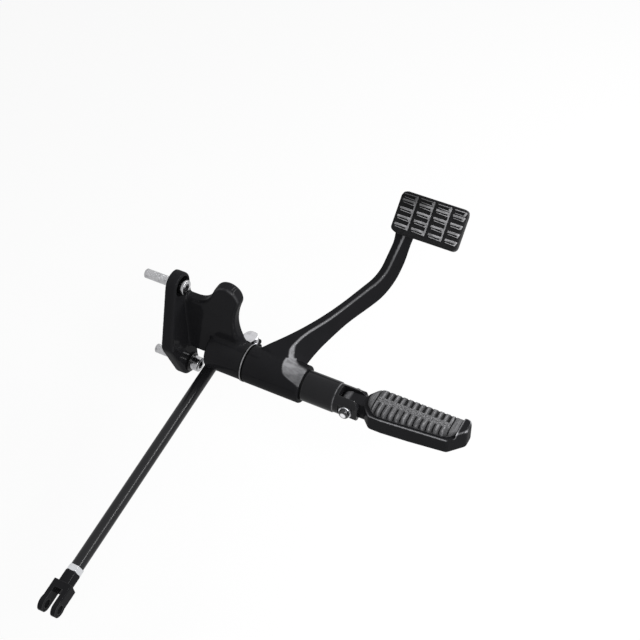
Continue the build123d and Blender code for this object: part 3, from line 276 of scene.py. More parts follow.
def ribbed_rubber(name, rgb, rubbed_and_lit, peg):
    """Rubber of the footpeg: each rib is grey along its crest, wear and a painted highlight, and the middle
    band is speckled.
    """
    paint = Paint(name)
    x, y = paint.along(0), paint.along(1)
    first = (HINGE[0] + first_groove(peg)) * MM
    last = first + (peg.grooves - 1) * peg.pitch * MM
    middle = peg.band_offset * MM
    far = paint.step(y, middle - 0.3 * MM, middle + 0.3 * MM)
    shifted = x - first - (far - 0.5) * (peg.pitch * 0.5 * MM)
    off = shifted.maths("PINGPONG", peg.pitch * 0.5 * MM)
    # Painted highlight along the middle of each rib, streaked like wear
    crest = paint.step(off, 0.2 * peg.pitch * MM, 0.49 * peg.pitch * MM)
    ribbed = paint.step(x, first - 0.6 * MM, first + 0.4 * MM)
    ribbed = ribbed * paint.step(x, last - 0.4 * MM, last + 0.6 * MM, 1.0, 0.0)
    band = paint.near(y - middle, peg.band * 0.7 * MM, peg.band * 1.3 * MM) * ribbed
    speckle = paint.step(paint.noise(1.1 * MM, 3), 0.42, 0.6)
    streaks = paint.step(paint.noise(0.9 * MM, 3, stretch=(1, 0.15, 0.5)), 0.4, 0.62)
    rubbed_and_lit_share = crest * (streaks * 0.65 + 0.15)
    rubbed_and_lit_share = paint.add("ShaderNodeMix", None, {0: band, 2: rubbed_and_lit_share, 3: speckle * 0.6})
    rubbed_and_lit_share = paint.add("ShaderNodeMix", None, {0: ribbed, 2: streaks * 0.2 + 0.12, 3: rubbed_and_lit_share})
    return finish_rubber(paint, rgb, rubbed_and_lit, rubbed_and_lit_share, streaks, 0.22)


def dull_zinc(name, rgb, grease, middle):
    """Zinc washer gone dull, darkened along the corners between it and its neighbours: a greasy film and a
    painted shade.
    """
    paint = Paint(name)
    cloud = paint.noise(3 * MM, 4)
    bare_band = paint.near(paint.along(0) - middle, 0.3 * MM, 0.6 * MM) * paint.step(cloud, 0.35, 0.7, 1.0, 0.5)
    paint.set(Base_Color=paint.blend(bare_band, colour(grease), colour(rgb)))
    paint.set(Metallic=0.9, Roughness=paint.step(cloud, 0.3, 0.7, 0.38, 0.55))
    paint.bump(paint.noise(0.5 * MM, 2, stretch=(1, 0.2, 0.2)), 0.02 * MM, 0.4, 0.2 * MM)
    return paint.material


def worn_pin(name, rgb, bright):
    """Blackened pin that wear has left bright round the hinge's axis."""
    paint = Paint(name)
    x = paint.along(0) - HINGE[0] * MM
    z = paint.along(2) - HINGE[2] * MM
    worn_and_lit = paint.near((x * x + z * z).maths("SQRT"), 1.9 * MM, 3.3 * MM)
    worn_and_lit = worn_and_lit * paint.step(paint.noise(2 * MM, 3), 0.2, 0.5, 0.8, 1.0)
    paint.set(Base_Color=paint.blend(worn_and_lit, colour(rgb), colour(bright)))
    paint.set(Metallic=0.95, Roughness=paint.step(paint.noise(3 * MM, 3), 0.3, 0.7, 0.16, 0.3))
    paint.bump(paint.noise(0.5 * MM, 2), 0.01 * MM, 0.4, 0.2 * MM)
    return paint.material


def plated(name, rgb, roughness, grain_height, stain, edge_shade=0.0):
    """Bright plate on steel with fine scratches and dull patches, and a painted shade along its edges."""
    paint = Paint(name)
    cloud = paint.noise(4 * MM, 4)
    scratches = paint.noise(0.5 * MM, 2, stretch=(0.12, 1, 1))
    skin = paint.blend(paint.step(cloud, 0.45, 0.75) * 0.6, colour(rgb), colour(stain))
    # Painted shade darkens the edges
    if edge_shade:
        skin = paint.blend(paint.edges(0.9 * MM) * edge_shade, skin, lighter(stain, 0.3))
    rough = paint.step(cloud, 0.3, 0.7, roughness, roughness * 1.7)
    paint.set(Base_Color=skin, Metallic=1.0, Roughness=rough + scratches * 0.04)
    paint.bump(scratches, grain_height, 0.4, 0.18 * MM)
    return paint.material


def turned_steel(name, rgb, roughness, pitch):
    """Ground or turned metal with fine lines round the shaft's axis."""
    paint = Paint(name)
    lines = paint.noise(pitch, 2, stretch=(1, 0.03, 0.03))
    cloud = paint.noise(7 * MM, 3)
    paint.set(Base_Color=paint.blend(paint.step(cloud, 0.4, 0.75) * 0.5, colour(rgb), lighter(rgb, 0.72)))
    paint.set(Metallic=1.0, Roughness=lines * 0.12 + roughness)
    paint.bump(lines, 0.02 * MM, 0.4, 0.15 * MM)
    return paint.material


def build_finishes():
    """Makes the finishes from the panel's colours, for the record's slots and for worn pieces."""
    hues = bpy.context.scene.brake_colours
    peg = bpy.context.scene.brake_peg
    cast, forged, buffed = hues.casting, hues.forging, hues.buffed
    return {
        "black_casting": gloss_black("cast_gloss_black", cast, buffed, 0.9 * MM, 0.06 * MM),
        "black_forging": gloss_black("forged_gloss_black", forged, buffed, 1.3 * MM, 0.04 * MM),
        "rod": gloss_black("rod_gloss_black", forged, buffed, 1.3 * MM, 0.002 * MM, gloss=0.8, haze=0.22),
        # Painted highlight line round the peg support
        "support": gloss_black("support_gloss_black", cast, buffed, 0.9 * MM, 0.05 * MM, gloss=0.45,
                               ring=SUPPORT_RING_X * MM),
        # Stronger painted highlight along the tray's rim and lip
        "tray": gloss_black("tray_gloss_black", cast, buffed, 0.9 * MM, 0.06 * MM, worn_and_lit=1.7),
        "rubber": moulded_rubber("moulded_rubber", hues.rubber, hues.rubber_dust, (1, 1, 1), 0.1),
        "worn_and_lit_bars": moulded_rubber("worn_and_lit_bars", hues.bars, hues.bars_worn_and_lit, (0.3, 1, 1), 0.22),
        "worn_and_lit_ribs": ribbed_rubber("worn_and_lit_ribs", hues.ribs, hues.ribs_worn_and_lit, peg),
        "thrust_washer": dull_zinc("dull_zinc", hues.dull_zinc, hues.grease, THRUST_WASHER_X * MM),
        # Washers dark all over: greasy film and painted shade
        "outer_washer": dull_zinc("greased_shaded_zinc", hues.grease, hues.grease, 0.0),
        "hinge_pin": worn_pin("worn_pin", hues.worn_pin, hues.chrome),
        "chrome": plated("bright_chrome", hues.chrome, 0.07, 0.008 * MM, (0.6, 0.6, 0.62)),
        "pinch_bolt": plated("worn_chrome", hues.worn_chrome, 0.14, 0.02 * MM, (0.36, 0.36, 0.37), edge_shade=0.9),
        # Frame bolts: darker plate, smoky chrome and painted shade
        "frame_bolts": plated("smoky_shaded_chrome", hues.smoky_shaded_chrome, 0.1, 0.01 * MM, (0.14, 0.14, 0.145),
                              edge_shade=0.4),
        "zinc": plated("zinc_plate", hues.zinc, 0.26, 0.02 * MM, (0.42, 0.42, 0.43)),
        "steel": turned_steel("ground_steel", hues.steel, 0.2, 0.35 * MM),
        "bronze": turned_steel("bearing_bronze", hues.bronze, 0.28, 0.5 * MM),
    }


FINISHES = {}
SPECIAL = {"thrust_washer": "thrust_washer", "outer_washer": "outer_washer", "peg_support": "support",
           "brake_rod": "rod", "hinge_pin": "hinge_pin", "pinch_bolt": "pinch_bolt",
           "pinch_bolt_washer": "pinch_bolt", "upper_frame_bolt": "frame_bolts",
           "lower_frame_bolt": "frame_bolts", "upper_frame_washer": "outer_washer",
           "lower_frame_washer": "outer_washer"}


def finish_of(slot):
    """Finish by its slot or name; all of them are made at the first call."""
    if not FINISHES:
        FINISHES.update(build_finishes())
    return FINISHES[slot]


def slot_of(node):
    """The record's material slot of a CAD node."""
    return next(part["material_slot"] for part in frame["record"]["subparts"] if part["node"] == node)


# Sizes and colours

def colour_prop(text, rgb):
    """Colour property."""
    return FloatVectorProperty(description=text, default=rgb, subtype="COLOR", min=0, max=1)


def length_prop(text, default, low=0):
    """Length property in millimetres."""
    return FloatProperty(description=text + ", in millimetres", default=default, min=low)


def point_prop(text, default):
    """Point property in millimetres."""
    return FloatVectorProperty(description=text + ", in millimetres", default=default)


def count_prop(text, default):
    """Property for a number of things."""
    return IntProperty(description=text, default=default, min=2)


def angle_prop(text, degrees):
    """Angle property."""
    return FloatProperty(description=text, default=math.radians(degrees), subtype="ANGLE")


def power_prop(text, watts):
    """Power property of a lamp."""
    return FloatProperty(description=text, default=watts, min=0, unit="POWER")


class BrakeColours(bpy.types.PropertyGroup):
    """Colours of the control's finishes."""

    casting: colour_prop("Gloss black of bracket, peg support and footpeg", (0.010, 0.010, 0.011))
    forging: colour_prop("Gloss black of the lever and the rod", (0.009, 0.009, 0.010))
    # Colour of the painted highlights and painted reflections on the black paint, partly paint that boots
    # buff
    buffed: colour_prop("Paint where boots have buffed the lever", (0.26, 0.26, 0.27))
    rubber: colour_prop("Moulded rubber of the pad and in the grooves", (0.005, 0.005, 0.0055))
    rubber_dust: colour_prop("Dust on the moulded rubber", (0.014, 0.014, 0.015))
    # The bars' rubber, lighter on their tops: wear and painted highlight
    bars: colour_prop("Rubber of the pad's raised bars", (0.13, 0.13, 0.134))
    bars_worn_and_lit: colour_prop("Bars where soles have rubbed them", (0.42, 0.42, 0.43))
    # The ribs' rubber and its lighter crests: wear and painted highlight
    ribs: colour_prop("Rubber of the footpeg's ribs", (0.04, 0.04, 0.042))
    ribs_worn_and_lit: colour_prop("Ribs where soles have rubbed them", (0.25, 0.25, 0.257))
    dull_zinc: colour_prop("Thrust washer between boss and hub", (0.3, 0.3, 0.31))
    # Greasy film and painted shade on the washers
    grease: colour_prop("Grease on the washers", (0.012, 0.012, 0.012))
    worn_pin: colour_prop("Blackened hinge pin where it isn't worn", (0.05, 0.05, 0.052))
    chrome: colour_prop("Bright plate of the hinge pin's worn head", (0.84, 0.84, 0.86))
    worn_chrome: colour_prop("Plate of the pinch bolt", (0.6, 0.6, 0.62))
    # Darker plate of the frame bolts: smoky chrome and painted shade
    smoky_shaded_chrome: colour_prop("Plate of the frame bolts", (0.4, 0.4, 0.41))
    zinc: colour_prop("Zinc plate of washers and small screws", (0.62, 0.63, 0.65))
    steel: colour_prop("Pivot shaft", (0.5, 0.5, 0.51))
    bronze: colour_prop("Bushes in the lever's hub", (0.55, 0.36, 0.17))


class PadSizes(bpy.types.PropertyGroup):
    """Sizes of the pedal's rubber pad."""

    width: length_prop("Width of the pad", 63.6)
    height: length_prop("Height of the pad", 38.0)
    depth: length_prop("From the bars' tops to the plate's back", 11.0)
    lip: length_prop("Lip behind the plate", 1.6)
    cover: length_prop("Rubber round the plate's edge", 3.0)
    plate: length_prop("Thickness of the lever's plate", 5.0)
    toe: length_prop("Width of the lever's toe in the back", 17.0)
    toe_middle: length_prop("Place of the toe's middle", -19.3, low=-50)
    corner: length_prop("Radius of the lower corners", 5.0)
    corner_push: length_prop("How far the upper corners are squarer than the lower ones", 0.6)
    front_round: length_prop("Radius of the front edges", 1.7)
    back_round: length_prop("Radius of the back edges", 1.5)
    clearance: length_prop("Clearance on the lever's plate", 0.05)
    border: length_prop("Border outboard of the bars", 1.3)
    bar: length_prop("Width of a bar", 4.1)
    bar_height: length_prop("Height of the bars", 2.2)
    gap: length_prop("Gap between a rib and the next column's bars", 3.6)
    rib: length_prop("Width of the ribs between the columns", 1.0)
    rib_length: length_prop("Length of the ribs", 31.8)
    rib_middle: length_prop("Height of the ribs' middle", 1.9)
    row_pitch: length_prop("Pitch of the rows", 7.7)
    top_pitch: length_prop("Pitch of the thin top row", 4.774)
    column_pitch: length_prop("Pitch of the columns", 16.7)
    lowest_row: length_prop("Height of the lowest row", -11.7, low=-50)
    middle_rib: length_prop("Place of the middle rib", -0.9, low=-50)
    columns: count_prop("Columns of bars", 4)
    rows: count_prop("Rows of bars", 5)
    tilt: angle_prop("Tilt of the pad", 44)
    side_border: length_prop("Extra width of the inboard border", 2.0)
    top_border: length_prop("Extra height of the upper border", 1.8)


class PegSizes(bpy.types.PropertyGroup):
    """Sizes of the footpeg's rubber."""

    start: length_prop("From the hinge to the tray", 13.6)
    length: length_prop("Length of the tray", 96.0)
    front: length_prop("From the hinge's middle to the front edge", 18.0)
    rear: length_prop("From the hinge's middle to the rear edge", 15.0)
    rear_tip: length_prop("Rear edge at the outer end", 9.6)
    end_cut: length_prop("Length of the outer corner's cut", 13.0)
    end_rear: length_prop("Where the outer corner's cut ends", 4.0)
    inner_cut: length_prop("Size of the shoulders at the inner end", 10.0)
    corner: length_prop("Radius of the rubber's corners", 4.0)
    rim: length_prop("Height of the tray's rim", 10.0)
    top: length_prop("Height of the rubber", 15.5)
    crown: length_prop("Rounding of the rubber's top", 3.6)
    lip: length_prop("Length of the lip at the outer end", 8.0)
    rubber_inset: length_prop("Rim that the rubber leaves free", 3.0)
    grooves: count_prop("Grooves in a row", 13)
    pitch: length_prop("Pitch of the grooves", 5.9)
    groove: length_prop("Width of a groove", 1.5)
    groove_depth: length_prop("Depth of the grooves", 2.0)
    groove_mouth: FloatProperty(description="How much wider the front grooves start", default=1.9, min=1)
    band: length_prop("Half the width of the smooth middle", 3.0)
    band_offset: length_prop("How far the smooth middle lies to the front", 3.0)


class LeverSizes(bpy.types.PropertyGroup):
    """Line and sections of the lever's arm, in millimetres."""

    root: point_prop("Start of the arm's middle line", (106, 6, -11))
    knee: point_prop("Corner of the arm's middle line", (154, 122, 12.3))
    toe: point_prop("End of the arm's middle line", (164, 158.265, 61.558))
    knee_radius: length_prop("Radius of the bend", 42.0)
    crease: length_prop("Radius of the arm's edges", 2.2)
    toe_spread: length_prop("How far the toe widens inboard", 5.0)
    knee_spread: length_prop("How far the knee widens outboard", 2.6)
    scoop: length_prop("Depth of the hub's scooped outer end", 1.8)


class StudioSizes(bpy.types.PropertyGroup):
    """Camera and lights of the stage."""

    azimuth: angle_prop("Turn of the camera round the object", 28.0)
    elevation: angle_prop("Height of the camera above the horizon", 46.2)
    roll: angle_prop("Turn of the picture", -0.8)
    camera: FloatVectorProperty(description="Place of the camera", default=(0.5265, -0.7091, 0.9095),
                                subtype="TRANSLATION", unit="LENGTH")
    lens: FloatProperty(description="Focal length for a 36 mm sensor", default=76.67, min=10)
    floor_drop: FloatProperty(description="From the object's lowest point to the floor", default=0.22, min=0,
                              unit="LENGTH")
    world_level: FloatProperty(description="Strength of the world as a light", default=0.45, min=0)
    key_power: power_prop("Strip light outboard", 13.0)
    fill_power: power_prop("Light beside the camera", 8.0)
    rim_power: power_prop("Strip light in front", 6.0)


# Tools for the pieces

def body_of(node):
    """The record's body of a CAD node."""
    bodies = frame["record"]["behaviour"]["bodies"]
    return next(body for body, nodes in bodies.items() if node in nodes)


def local_frame(origin, outboard, normal):
    """Matrix from a piece's own millimetres to the object's frame, from its X and its Z direction."""
    up = Vector(normal).normalized()
    across = Vector(outboard)
    across = (across - up * across.dot(up)).normalized()
    axes = Matrix((across, up.cross(across), up)).transposed().to_4x4()
    return Matrix.Translation(Vector(origin) * MM) @ axes @ Matrix.Scale(MM, 4)


def smooth_faces(form, sharp=35):
    """Smooth shading, with the edges over an angle in degrees left sharp."""
    for face in form.faces:
        face.smooth = True
    for edge in form.edges:
        edge.smooth = len(edge.link_faces) == 2 and edge.calc_face_angle(0) < math.radians(sharp)


def add_object(name, data):
    """Makes an object of a mesh, a lamp or a camera and adds it to the scene."""
    added = bpy.data.objects.new(name, data)
    bpy.context.scene.collection.objects.link(added)
    return added


def mesh_of(name, form):
    """Mesh of a bmesh, which is freed."""
    mesh = bpy.data.meshes.new(name)
    form.to_mesh(mesh)
    form.free()
    return mesh


def add_piece(name, form, place, node, stands_for=True, slot=None):
    """Makes an object of a bmesh, puts it in place and gives it the body and finish of a CAD node."""
    bmesh.ops.transform(form, matrix=place, verts=form.verts)
    bmesh.ops.recalc_face_normals(form, faces=form.faces)
    smooth_faces(form)
    piece = add_object(name, mesh_of(name, form))
    slot = slot or slot_of(node)
    piece.data.materials.append(finish_of(slot))
    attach(piece, body_of(node))
    if stands_for:
        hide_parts(node)
    return piece


@contextmanager
def opened(piece):
    """The piece's mesh as a bmesh, which is written back afterwards."""
    form = bmesh.new()
    form.from_mesh(piece.data)
    yield form
    form.to_mesh(piece.data)
    form.free()


def bake_modifiers(piece):
    """Turns a piece's modifiers into its mesh."""
    evaluated = piece.evaluated_get(bpy.context.evaluated_depsgraph_get())
    mesh = bpy.data.meshes.new_from_object(evaluated)
    piece.modifiers.clear()
    piece.data = mesh


def ease(value, low, high):
    """Goes smoothly from 0 to 1 while a value goes from low to high."""
    share = min(1.0, max(0.0, (value - low) / (high - low)))
    return share * share * (3 - 2 * share)


def mark(piece, name, values):
    """Stores a number for each vertex of a piece, for its material."""
    layer = piece.data.attributes.new(name, "FLOAT", "POINT")
    layer.data.foreach_set("value", values)


def only(kind, parts):
    """The vertices, edges or faces among some parts of a form."""
    return [part for part in parts if isinstance(part, kind)]


def pull(form, faces, move, scale=(1, 1, 1)):
    """Extrudes faces, moves and scales the new ones about their middle, and returns them."""
    made = bmesh.ops.extrude_face_region(form, geom=faces)["geom"]
    bmesh.ops.delete(form, geom=faces, context="FACES_ONLY")
    verts = only(bmesh.types.BMVert, made)
    middle = sum((vert.co for vert in verts), Vector()) / len(verts)
    bmesh.ops.scale(form, verts=verts, vec=scale, space=Matrix.Translation(-middle))
    bmesh.ops.translate(form, verts=verts, vec=move)
    return only(bmesh.types.BMFace, made)


def facing(form, direction):
    """Faces of a form that look in a direction."""
    form.normal_update()
    return [face for face in form.faces if face.normal.dot(Vector(direction)) > 0.99]


def upright_edges(form):
    """Edges of a form that rise by more than a millimetre."""
    return [edge for edge in form.edges if abs((edge.verts[0].co - edge.verts[1].co).z) > 1]


def rim_edges(faces):
    """Edges round the outside of some faces."""
    chosen = set(faces)
    return [edge for face in faces for edge in face.edges
            if sum(1 for other in edge.link_faces if other in chosen) == 1]


def round_off(form, edges, size, segments):
    """Rounds edges to about a radius."""
    bmesh.ops.bevel(form, geom=edges, offset=size, segments=segments, profile=0.5, affect="EDGES",
                    material=-1, clamp_overlap=True)


def narrow_tops(form, scale):
    """Scales the faces that look up, each about its own middle."""
    for face in facing(form, (0, 0, 1)):
        about = Matrix.Translation(-face.calc_center_median())
        bmesh.ops.scale(form, verts=face.verts, vec=scale, space=about)


def round_tops(form, size):
    """Rounds the edges of the faces that look up."""
    round_off(form, [edge for face in facing(form, (0, 0, 1)) for edge in face.edges], size, 2)


def block(form, size, middle, low, high, turn=0.0):
    """Adds a block from a low to a high level, with the size, middle and turn of its plan."""
    place = Matrix.Translation((*middle, (low + high) / 2)) @ Matrix.Rotation(turn, 4, "Z")
    bmesh.ops.create_cube(form, size=1.0, matrix=place @ Matrix.Diagonal((*size, high - low, 1)))


def relax(form, verts, times):
    """Smooths vertices a number of times."""
    for _ in range(times):
        bmesh.ops.smooth_vert(form, verts=verts, factor=0.5,
                              use_axis_x=True, use_axis_y=True, use_axis_z=True)


def off_shaft(point):
    """Distance of a point in millimetres from the shaft's axis."""
    return math.hypot(point.y, point.z - SHAFT_Z)


def join(form, other):
    """Adds one bmesh to another and frees it."""
    mesh = mesh_of("joined", other)
    form.from_mesh(mesh)
    bpy.data.meshes.remove(mesh)


def carve(piece, cutter_form, place):
    """Cuts a bmesh out of a piece."""
    bmesh.ops.transform(cutter_form, matrix=place, verts=cutter_form.verts)
    bmesh.ops.recalc_face_normals(cutter_form, faces=cutter_form.faces)
    mesh = mesh_of("cutter", cutter_form)
    cutter = add_object("cutter", mesh)
    cut = piece.modifiers.new("cut", "BOOLEAN")
    cut.operation = "DIFFERENCE"
    cut.solver = "EXACT"
    cut.object = cutter
    bake_modifiers(piece)
    bpy.data.objects.remove(cutter)
    bpy.data.meshes.remove(mesh)


# Pedal rubber

def pad_slab(pad):
    """Slab of the pad with rounded edges and a pocket behind for the lever's plate."""
    form = bmesh.new()
    block(form, (pad.width, pad.height), (0, 0), -pad.depth - pad.lip, -pad.bar_height)
    round_off(form, upright_edges(form), pad.corner, 6)
    round_off(form, rim_edges(facing(form, (0, 0, 1))), pad.front_round, 4)
    round_off(form, rim_edges(facing(form, (0, 0, -1))), pad.back_round, 3)
    back = max(facing(form, (0, 0, -1)), key=lambda face: face.calc_area())
    bmesh.ops.inset_region(form, faces=[back], thickness=2 * pad.cover - pad.back_round, depth=0)
    mouth = pull(form, [back], (0, 0, pad.lip - pad.clearance))
    wide = (pad.width - 2 * pad.cover) / (pad.width - 4 * pad.cover)
    high = (pad.height - 2 * pad.cover) / (pad.height - 4 * pad.cover)
    pocket = pull(form, mouth, (0, 0, 0), (wide, high, 1))
    pull(form, pocket, (0, 0, pad.plate + 2 * pad.clearance))
    for vert in form.verts:
        across = abs(vert.co.x) - pad.width / 2 + pad.corner
        along = vert.co.y - pad.height / 2 + pad.corner
        if across > 0 and along > 0:
            push = pad.corner_push * min(across, along) / math.hypot(across, along)
            push *= ease(math.hypot(across, along), pad.corner * 0.55, pad.corner * 0.9)
            vert.co.x += math.copysign(push, vert.co.x)
            vert.co.y += push
        vert.co.x -= pad.side_border * ease(-vert.co.x, pad.width / 2 - 3, pad.width / 2)
        vert.co.y += pad.top_border * ease(vert.co.y, pad.height / 2 - 3, pad.height / 2)
    return form


def pad_bar(form, pad, across, along, length, thin):
    """Raised bar: a broad ridge and a thin one in front of it, joined at their outboard end."""
    foot = -pad.bar_height - 0.5
    broad = pad.bar * (0.2 if thin else 0.55)
    bar = bmesh.new()
    block(bar, (length, broad), (across, along + (pad.bar - broad) / 2), foot, 0.0)
    block(bar, (length * 0.92, pad.bar * 0.2), (across + length * 0.04, along - pad.bar * 0.4), foot, -0.25,
          math.radians(-3))
    block(bar, (pad.bar * 0.34, pad.bar * 0.95), (across + length / 2 - 0.5, along), foot, -0.1,
          math.radians(-16))
    narrow_tops(bar, (0.97, 0.82, 1))
    round_tops(bar, 0.3)
    join(form, bar)


def pad_divider(form, pad, across, rows):
    """Thin upright rib between two columns, with a web to each bar of the column before it."""
    rib = bmesh.new()
    block(rib, (pad.rib, pad.rib_length), (across, pad.rib_middle), -pad.bar_height - 0.25, 0.05)
    narrow_tops(rib, (0.7, 1, 1))
    round_tops(rib, 0.2)
    join(form, rib)
    for along in rows:
        web = bmesh.new()
        middle = (across - pad.gap * 0.25, along + pad.bar * 0.25)
        block(web, (pad.gap * 0.9, 0.9), middle, -pad.bar_height - 0.35, -0.35, math.radians(50))
        round_tops(web, 0.2)
        join(form, web)


def pad_relief(form, pad):
    """Adds the columns of bars, the topmost row thin, and the ribs between them."""
    rows = [pad.lowest_row + row * pad.row_pitch for row in range(pad.rows - 1)]
    rows.append(rows[-1] + pad.top_pitch)
    for column in range(pad.columns):
        left = pad.middle_rib + (column - pad.columns / 2) * pad.column_pitch
        right = min(left + pad.column_pitch, pad.width / 2 - pad.border)
        for along in rows:
            pad_bar(form, pad, (left + pad.gap + right) / 2, along, right - left - pad.gap, along == rows[-1])
        if column:
            pad_divider(form, pad, left, rows)


class BRAKE_OT_pad(bpy.types.Operator):
    """Builds the pedal's rubber pad with its bars and ribs"""
    bl_idname = "brake.pad"
    bl_label = "Pedal pad"

    def execute(self, context):
        pad = context.scene.brake_pad
        place = local_frame(PAD_FACE, (1, 0, 0), (0, -math.sin(pad.tilt), math.cos(pad.tilt)))
        flat = place.inverted()
        piece = add_piece("pedal_pad", pad_slab(pad), place, "pedal_rubber")
        notch = bmesh.new()
        block(notch, (pad.toe, pad.height), (pad.toe_middle, -pad.height / 2), -pad.depth - 4, -pad.depth)
        carve(piece, notch, place)
        with opened(piece) as form:
            bmesh.ops.transform(form, matrix=flat, verts=form.verts)
            pad_relief(form, pad)
            # The bars' tops get the lighter bar rubber: wear and a painted highlight
            worn_and_lit_above = -pad.bar_height * 0.72
            for face in form.faces:
                face.material_index = 1 if face.calc_center_median().z > worn_and_lit_above else 0
            bmesh.ops.transform(form, matrix=place, verts=form.verts)
            smooth_faces(form)
        piece.data.materials.append(finish_of("worn_and_lit_bars"))
        # The pad is darker towards its upper inboard corner
        spots = [flat @ vert.co for vert in piece.data.vertices]
        mark(piece, "upper_inboard_darkening", [0.85 * ease(spot.y * 0.9 - spot.x * 0.35, 6, 22) for spot in spots])
        return {"FINISHED"}


# Footpeg rubber

def peg_outline(peg, inset):
    """Corners of the footpeg's plan, drawn in by a margin."""
    end = peg.start + peg.length - inset
    start = peg.start + inset
    front = peg.front - inset / 2
    cut = peg.inner_cut
    return [(start, front - cut), (start + cut * 0.7, front), (end, front), (end, peg.end_rear + inset / 2),
            (end - peg.end_cut, inset - peg.rear_tip), (start + 2.2 * cut, inset - peg.rear),
            (start + cut, inset - peg.rear), (start, inset + cut - peg.rear)]


def first_groove(peg):
    """Distance from the hinge to the first groove."""
    ribbed = (peg.grooves - 1) * peg.pitch
    return peg.start + peg.rubber_inset + (peg.length - peg.lip - peg.rubber_inset - ribbed) / 2


def tread_form(peg, inset, low, high, crown, end):
    """Prism over the footpeg's plan up to an end, with rounded corners and a rounded crown."""
    form = bmesh.new()
    corners = [form.verts.new((x, y, low)) for x, y in peg_outline(peg, inset)]
    form.faces.new(corners)
    form.normal_update()
    bmesh.ops.bevel(form, geom=corners, offset=peg.corner, segments=5, profile=0.5, affect="VERTICES",
                    material=-1)
    made = bmesh.ops.extrude_face_region(form, geom=form.faces[:])["geom"]
    verts = only(bmesh.types.BMVert, made)
    bmesh.ops.translate(form, verts=verts, vec=(0, 0, high - low))
    cut = bmesh.ops.bisect_plane(form, geom=form.verts[:] + form.edges[:] + form.faces[:], dist=1e-4,
                                 plane_co=(end, 0, 0), plane_no=(1, 0, 0), clear_outer=True)["geom_cut"]
    bmesh.ops.holes_fill(form, edges=only(bmesh.types.BMEdge, cut))
    bmesh.ops.recalc_face_normals(form, faces=form.faces)
    round_off(form, rim_edges(facing(form, (0, 0, 1))), crown, 6)
    return form


def groove_cutters(peg):
    """Blocks for the grooves: the first and last run right across, the others stop at the smooth band."""
    cutters = bmesh.new()
    reach = peg.front + 12
    for number in range(peg.grooves):
        across = first_groove(peg) + number * peg.pitch
        if number in (0, peg.grooves - 1):
            spans = [(across, 0.0, 2 * reach, 1.0)]
        else:
            spans = [(across + side * peg.pitch / 4, peg.band_offset + side * (peg.band + reach / 2), reach,
                      mouth) for side, mouth in ((1, peg.groove_mouth), (-1, 1.0))]
        for x, y, length, mouth in spans:
            cutter = bmesh.new()
            block(cutter, (peg.groove, length), (x, y), peg.rim + 0.3, peg.top + 2)
            near = [vert for vert in cutter.verts if vert.co.y < y]
            bmesh.ops.scale(cutter, verts=near, vec=(mouth, 1, 1), space=Matrix.Translation((-x, 0, 0)))
            round_off(cutter, upright_edges(cutter), peg.groove * 0.45, 3)
            join(cutters, cutter)
    return cutters


class BRAKE_OT_tread(bpy.types.Operator):
    """Builds the footpeg's rubber with its two rows of ribs"""
    bl_idname = "brake.tread"
    bl_label = "Footpeg rubber"

    def execute(self, context):
        peg = context.scene.brake_peg
        place = local_frame(HINGE, (1, 0, 0), (0, 0, 1))
        end = peg.start + peg.length - peg.lip - 0.3
        tread = tread_form(peg, peg.rubber_inset, peg.rim, peg.top, peg.crown, end)
        piece = add_piece("footpeg_tread", tread, place, "footpeg_rubber")
        carve(piece, groove_cutters(peg), place)
        with opened(piece) as form:
            bmesh.ops.remove_doubles(form, verts=form.verts, dist=2e-6)
        soft = piece.modifiers.new("soft_edges", "BEVEL")
        soft.width = 0.7 * MM
        soft.segments = 3
        soft.limit_method = "ANGLE"
        soft.angle_limit = math.radians(40)
        bake_modifiers(piece)

        with opened(piece) as form:
            # The ribs take the second, lighter rubber; the core below the grooves stays on the first, dark
            # rubber, a painted shade in the grooves
            for face in form.faces:
                face.material_index = 1
            core = tread_form(peg, peg.rubber_inset + peg.groove_depth, peg.rim, peg.top - peg.groove_depth,
                              peg.crown * 0.8, end - peg.groove_depth)
            bmesh.ops.transform(core, matrix=place, verts=core.verts)
            join(form, core)
            smooth_faces(form, 38)
        piece.data.materials.append(finish_of("worn_and_lit_ribs"))
        return {"FINISHED"}


# Castings and forgings

def worn_lit_edges(form, faded):
    """Painted highlight and wear: how far each vertex stands out of its neighbours on edges that look up,
    from 0 to 1.
    """
    form.normal_update()
    stands = []
    for vert in form.verts:
        others = [edge.other_vert(vert).co for edge in vert.link_edges]
        middle = sum(others, Vector()) / len(others)
        reach = sum((other - vert.co).length for other in others) / len(others)
        out = (vert.co - middle).dot(vert.normal) / reach
        stands.append(ease(out, 0.05, 0.14) * ease(vert.normal.z, -0.4, 0.2) * (1 - faded(vert.co / MM)))
    form.verts.index_update()
    return [(stands[vert.index] * 2 + sum(stands[edge.other_vert(vert).index] for edge in vert.link_edges))
            / (2 + len(vert.link_edges)) for vert in form.verts]


def rim_faded(point):
    """How little painted highlight the tray's edges get: they get it along the rim and on the lip, but not
    between.
    """
    rubbed_and_lit = 0.85 * ease(point.x, 196, 212) * (1 - ease(point.x, 274, 277) + 1.8 * ease(point.x, 280, 283))
    return 1 - rubbed_and_lit * ease(point.z, -14, -11)


def tang_top(point, normal):
    """How much painted reflection the top and the end of the footpeg's tang get."""
    return 0.5 * ease(point.x, 171, 173) * (1 - ease(point.x, 178, 181)) * ease(normal.z, 0.3, 0.8)


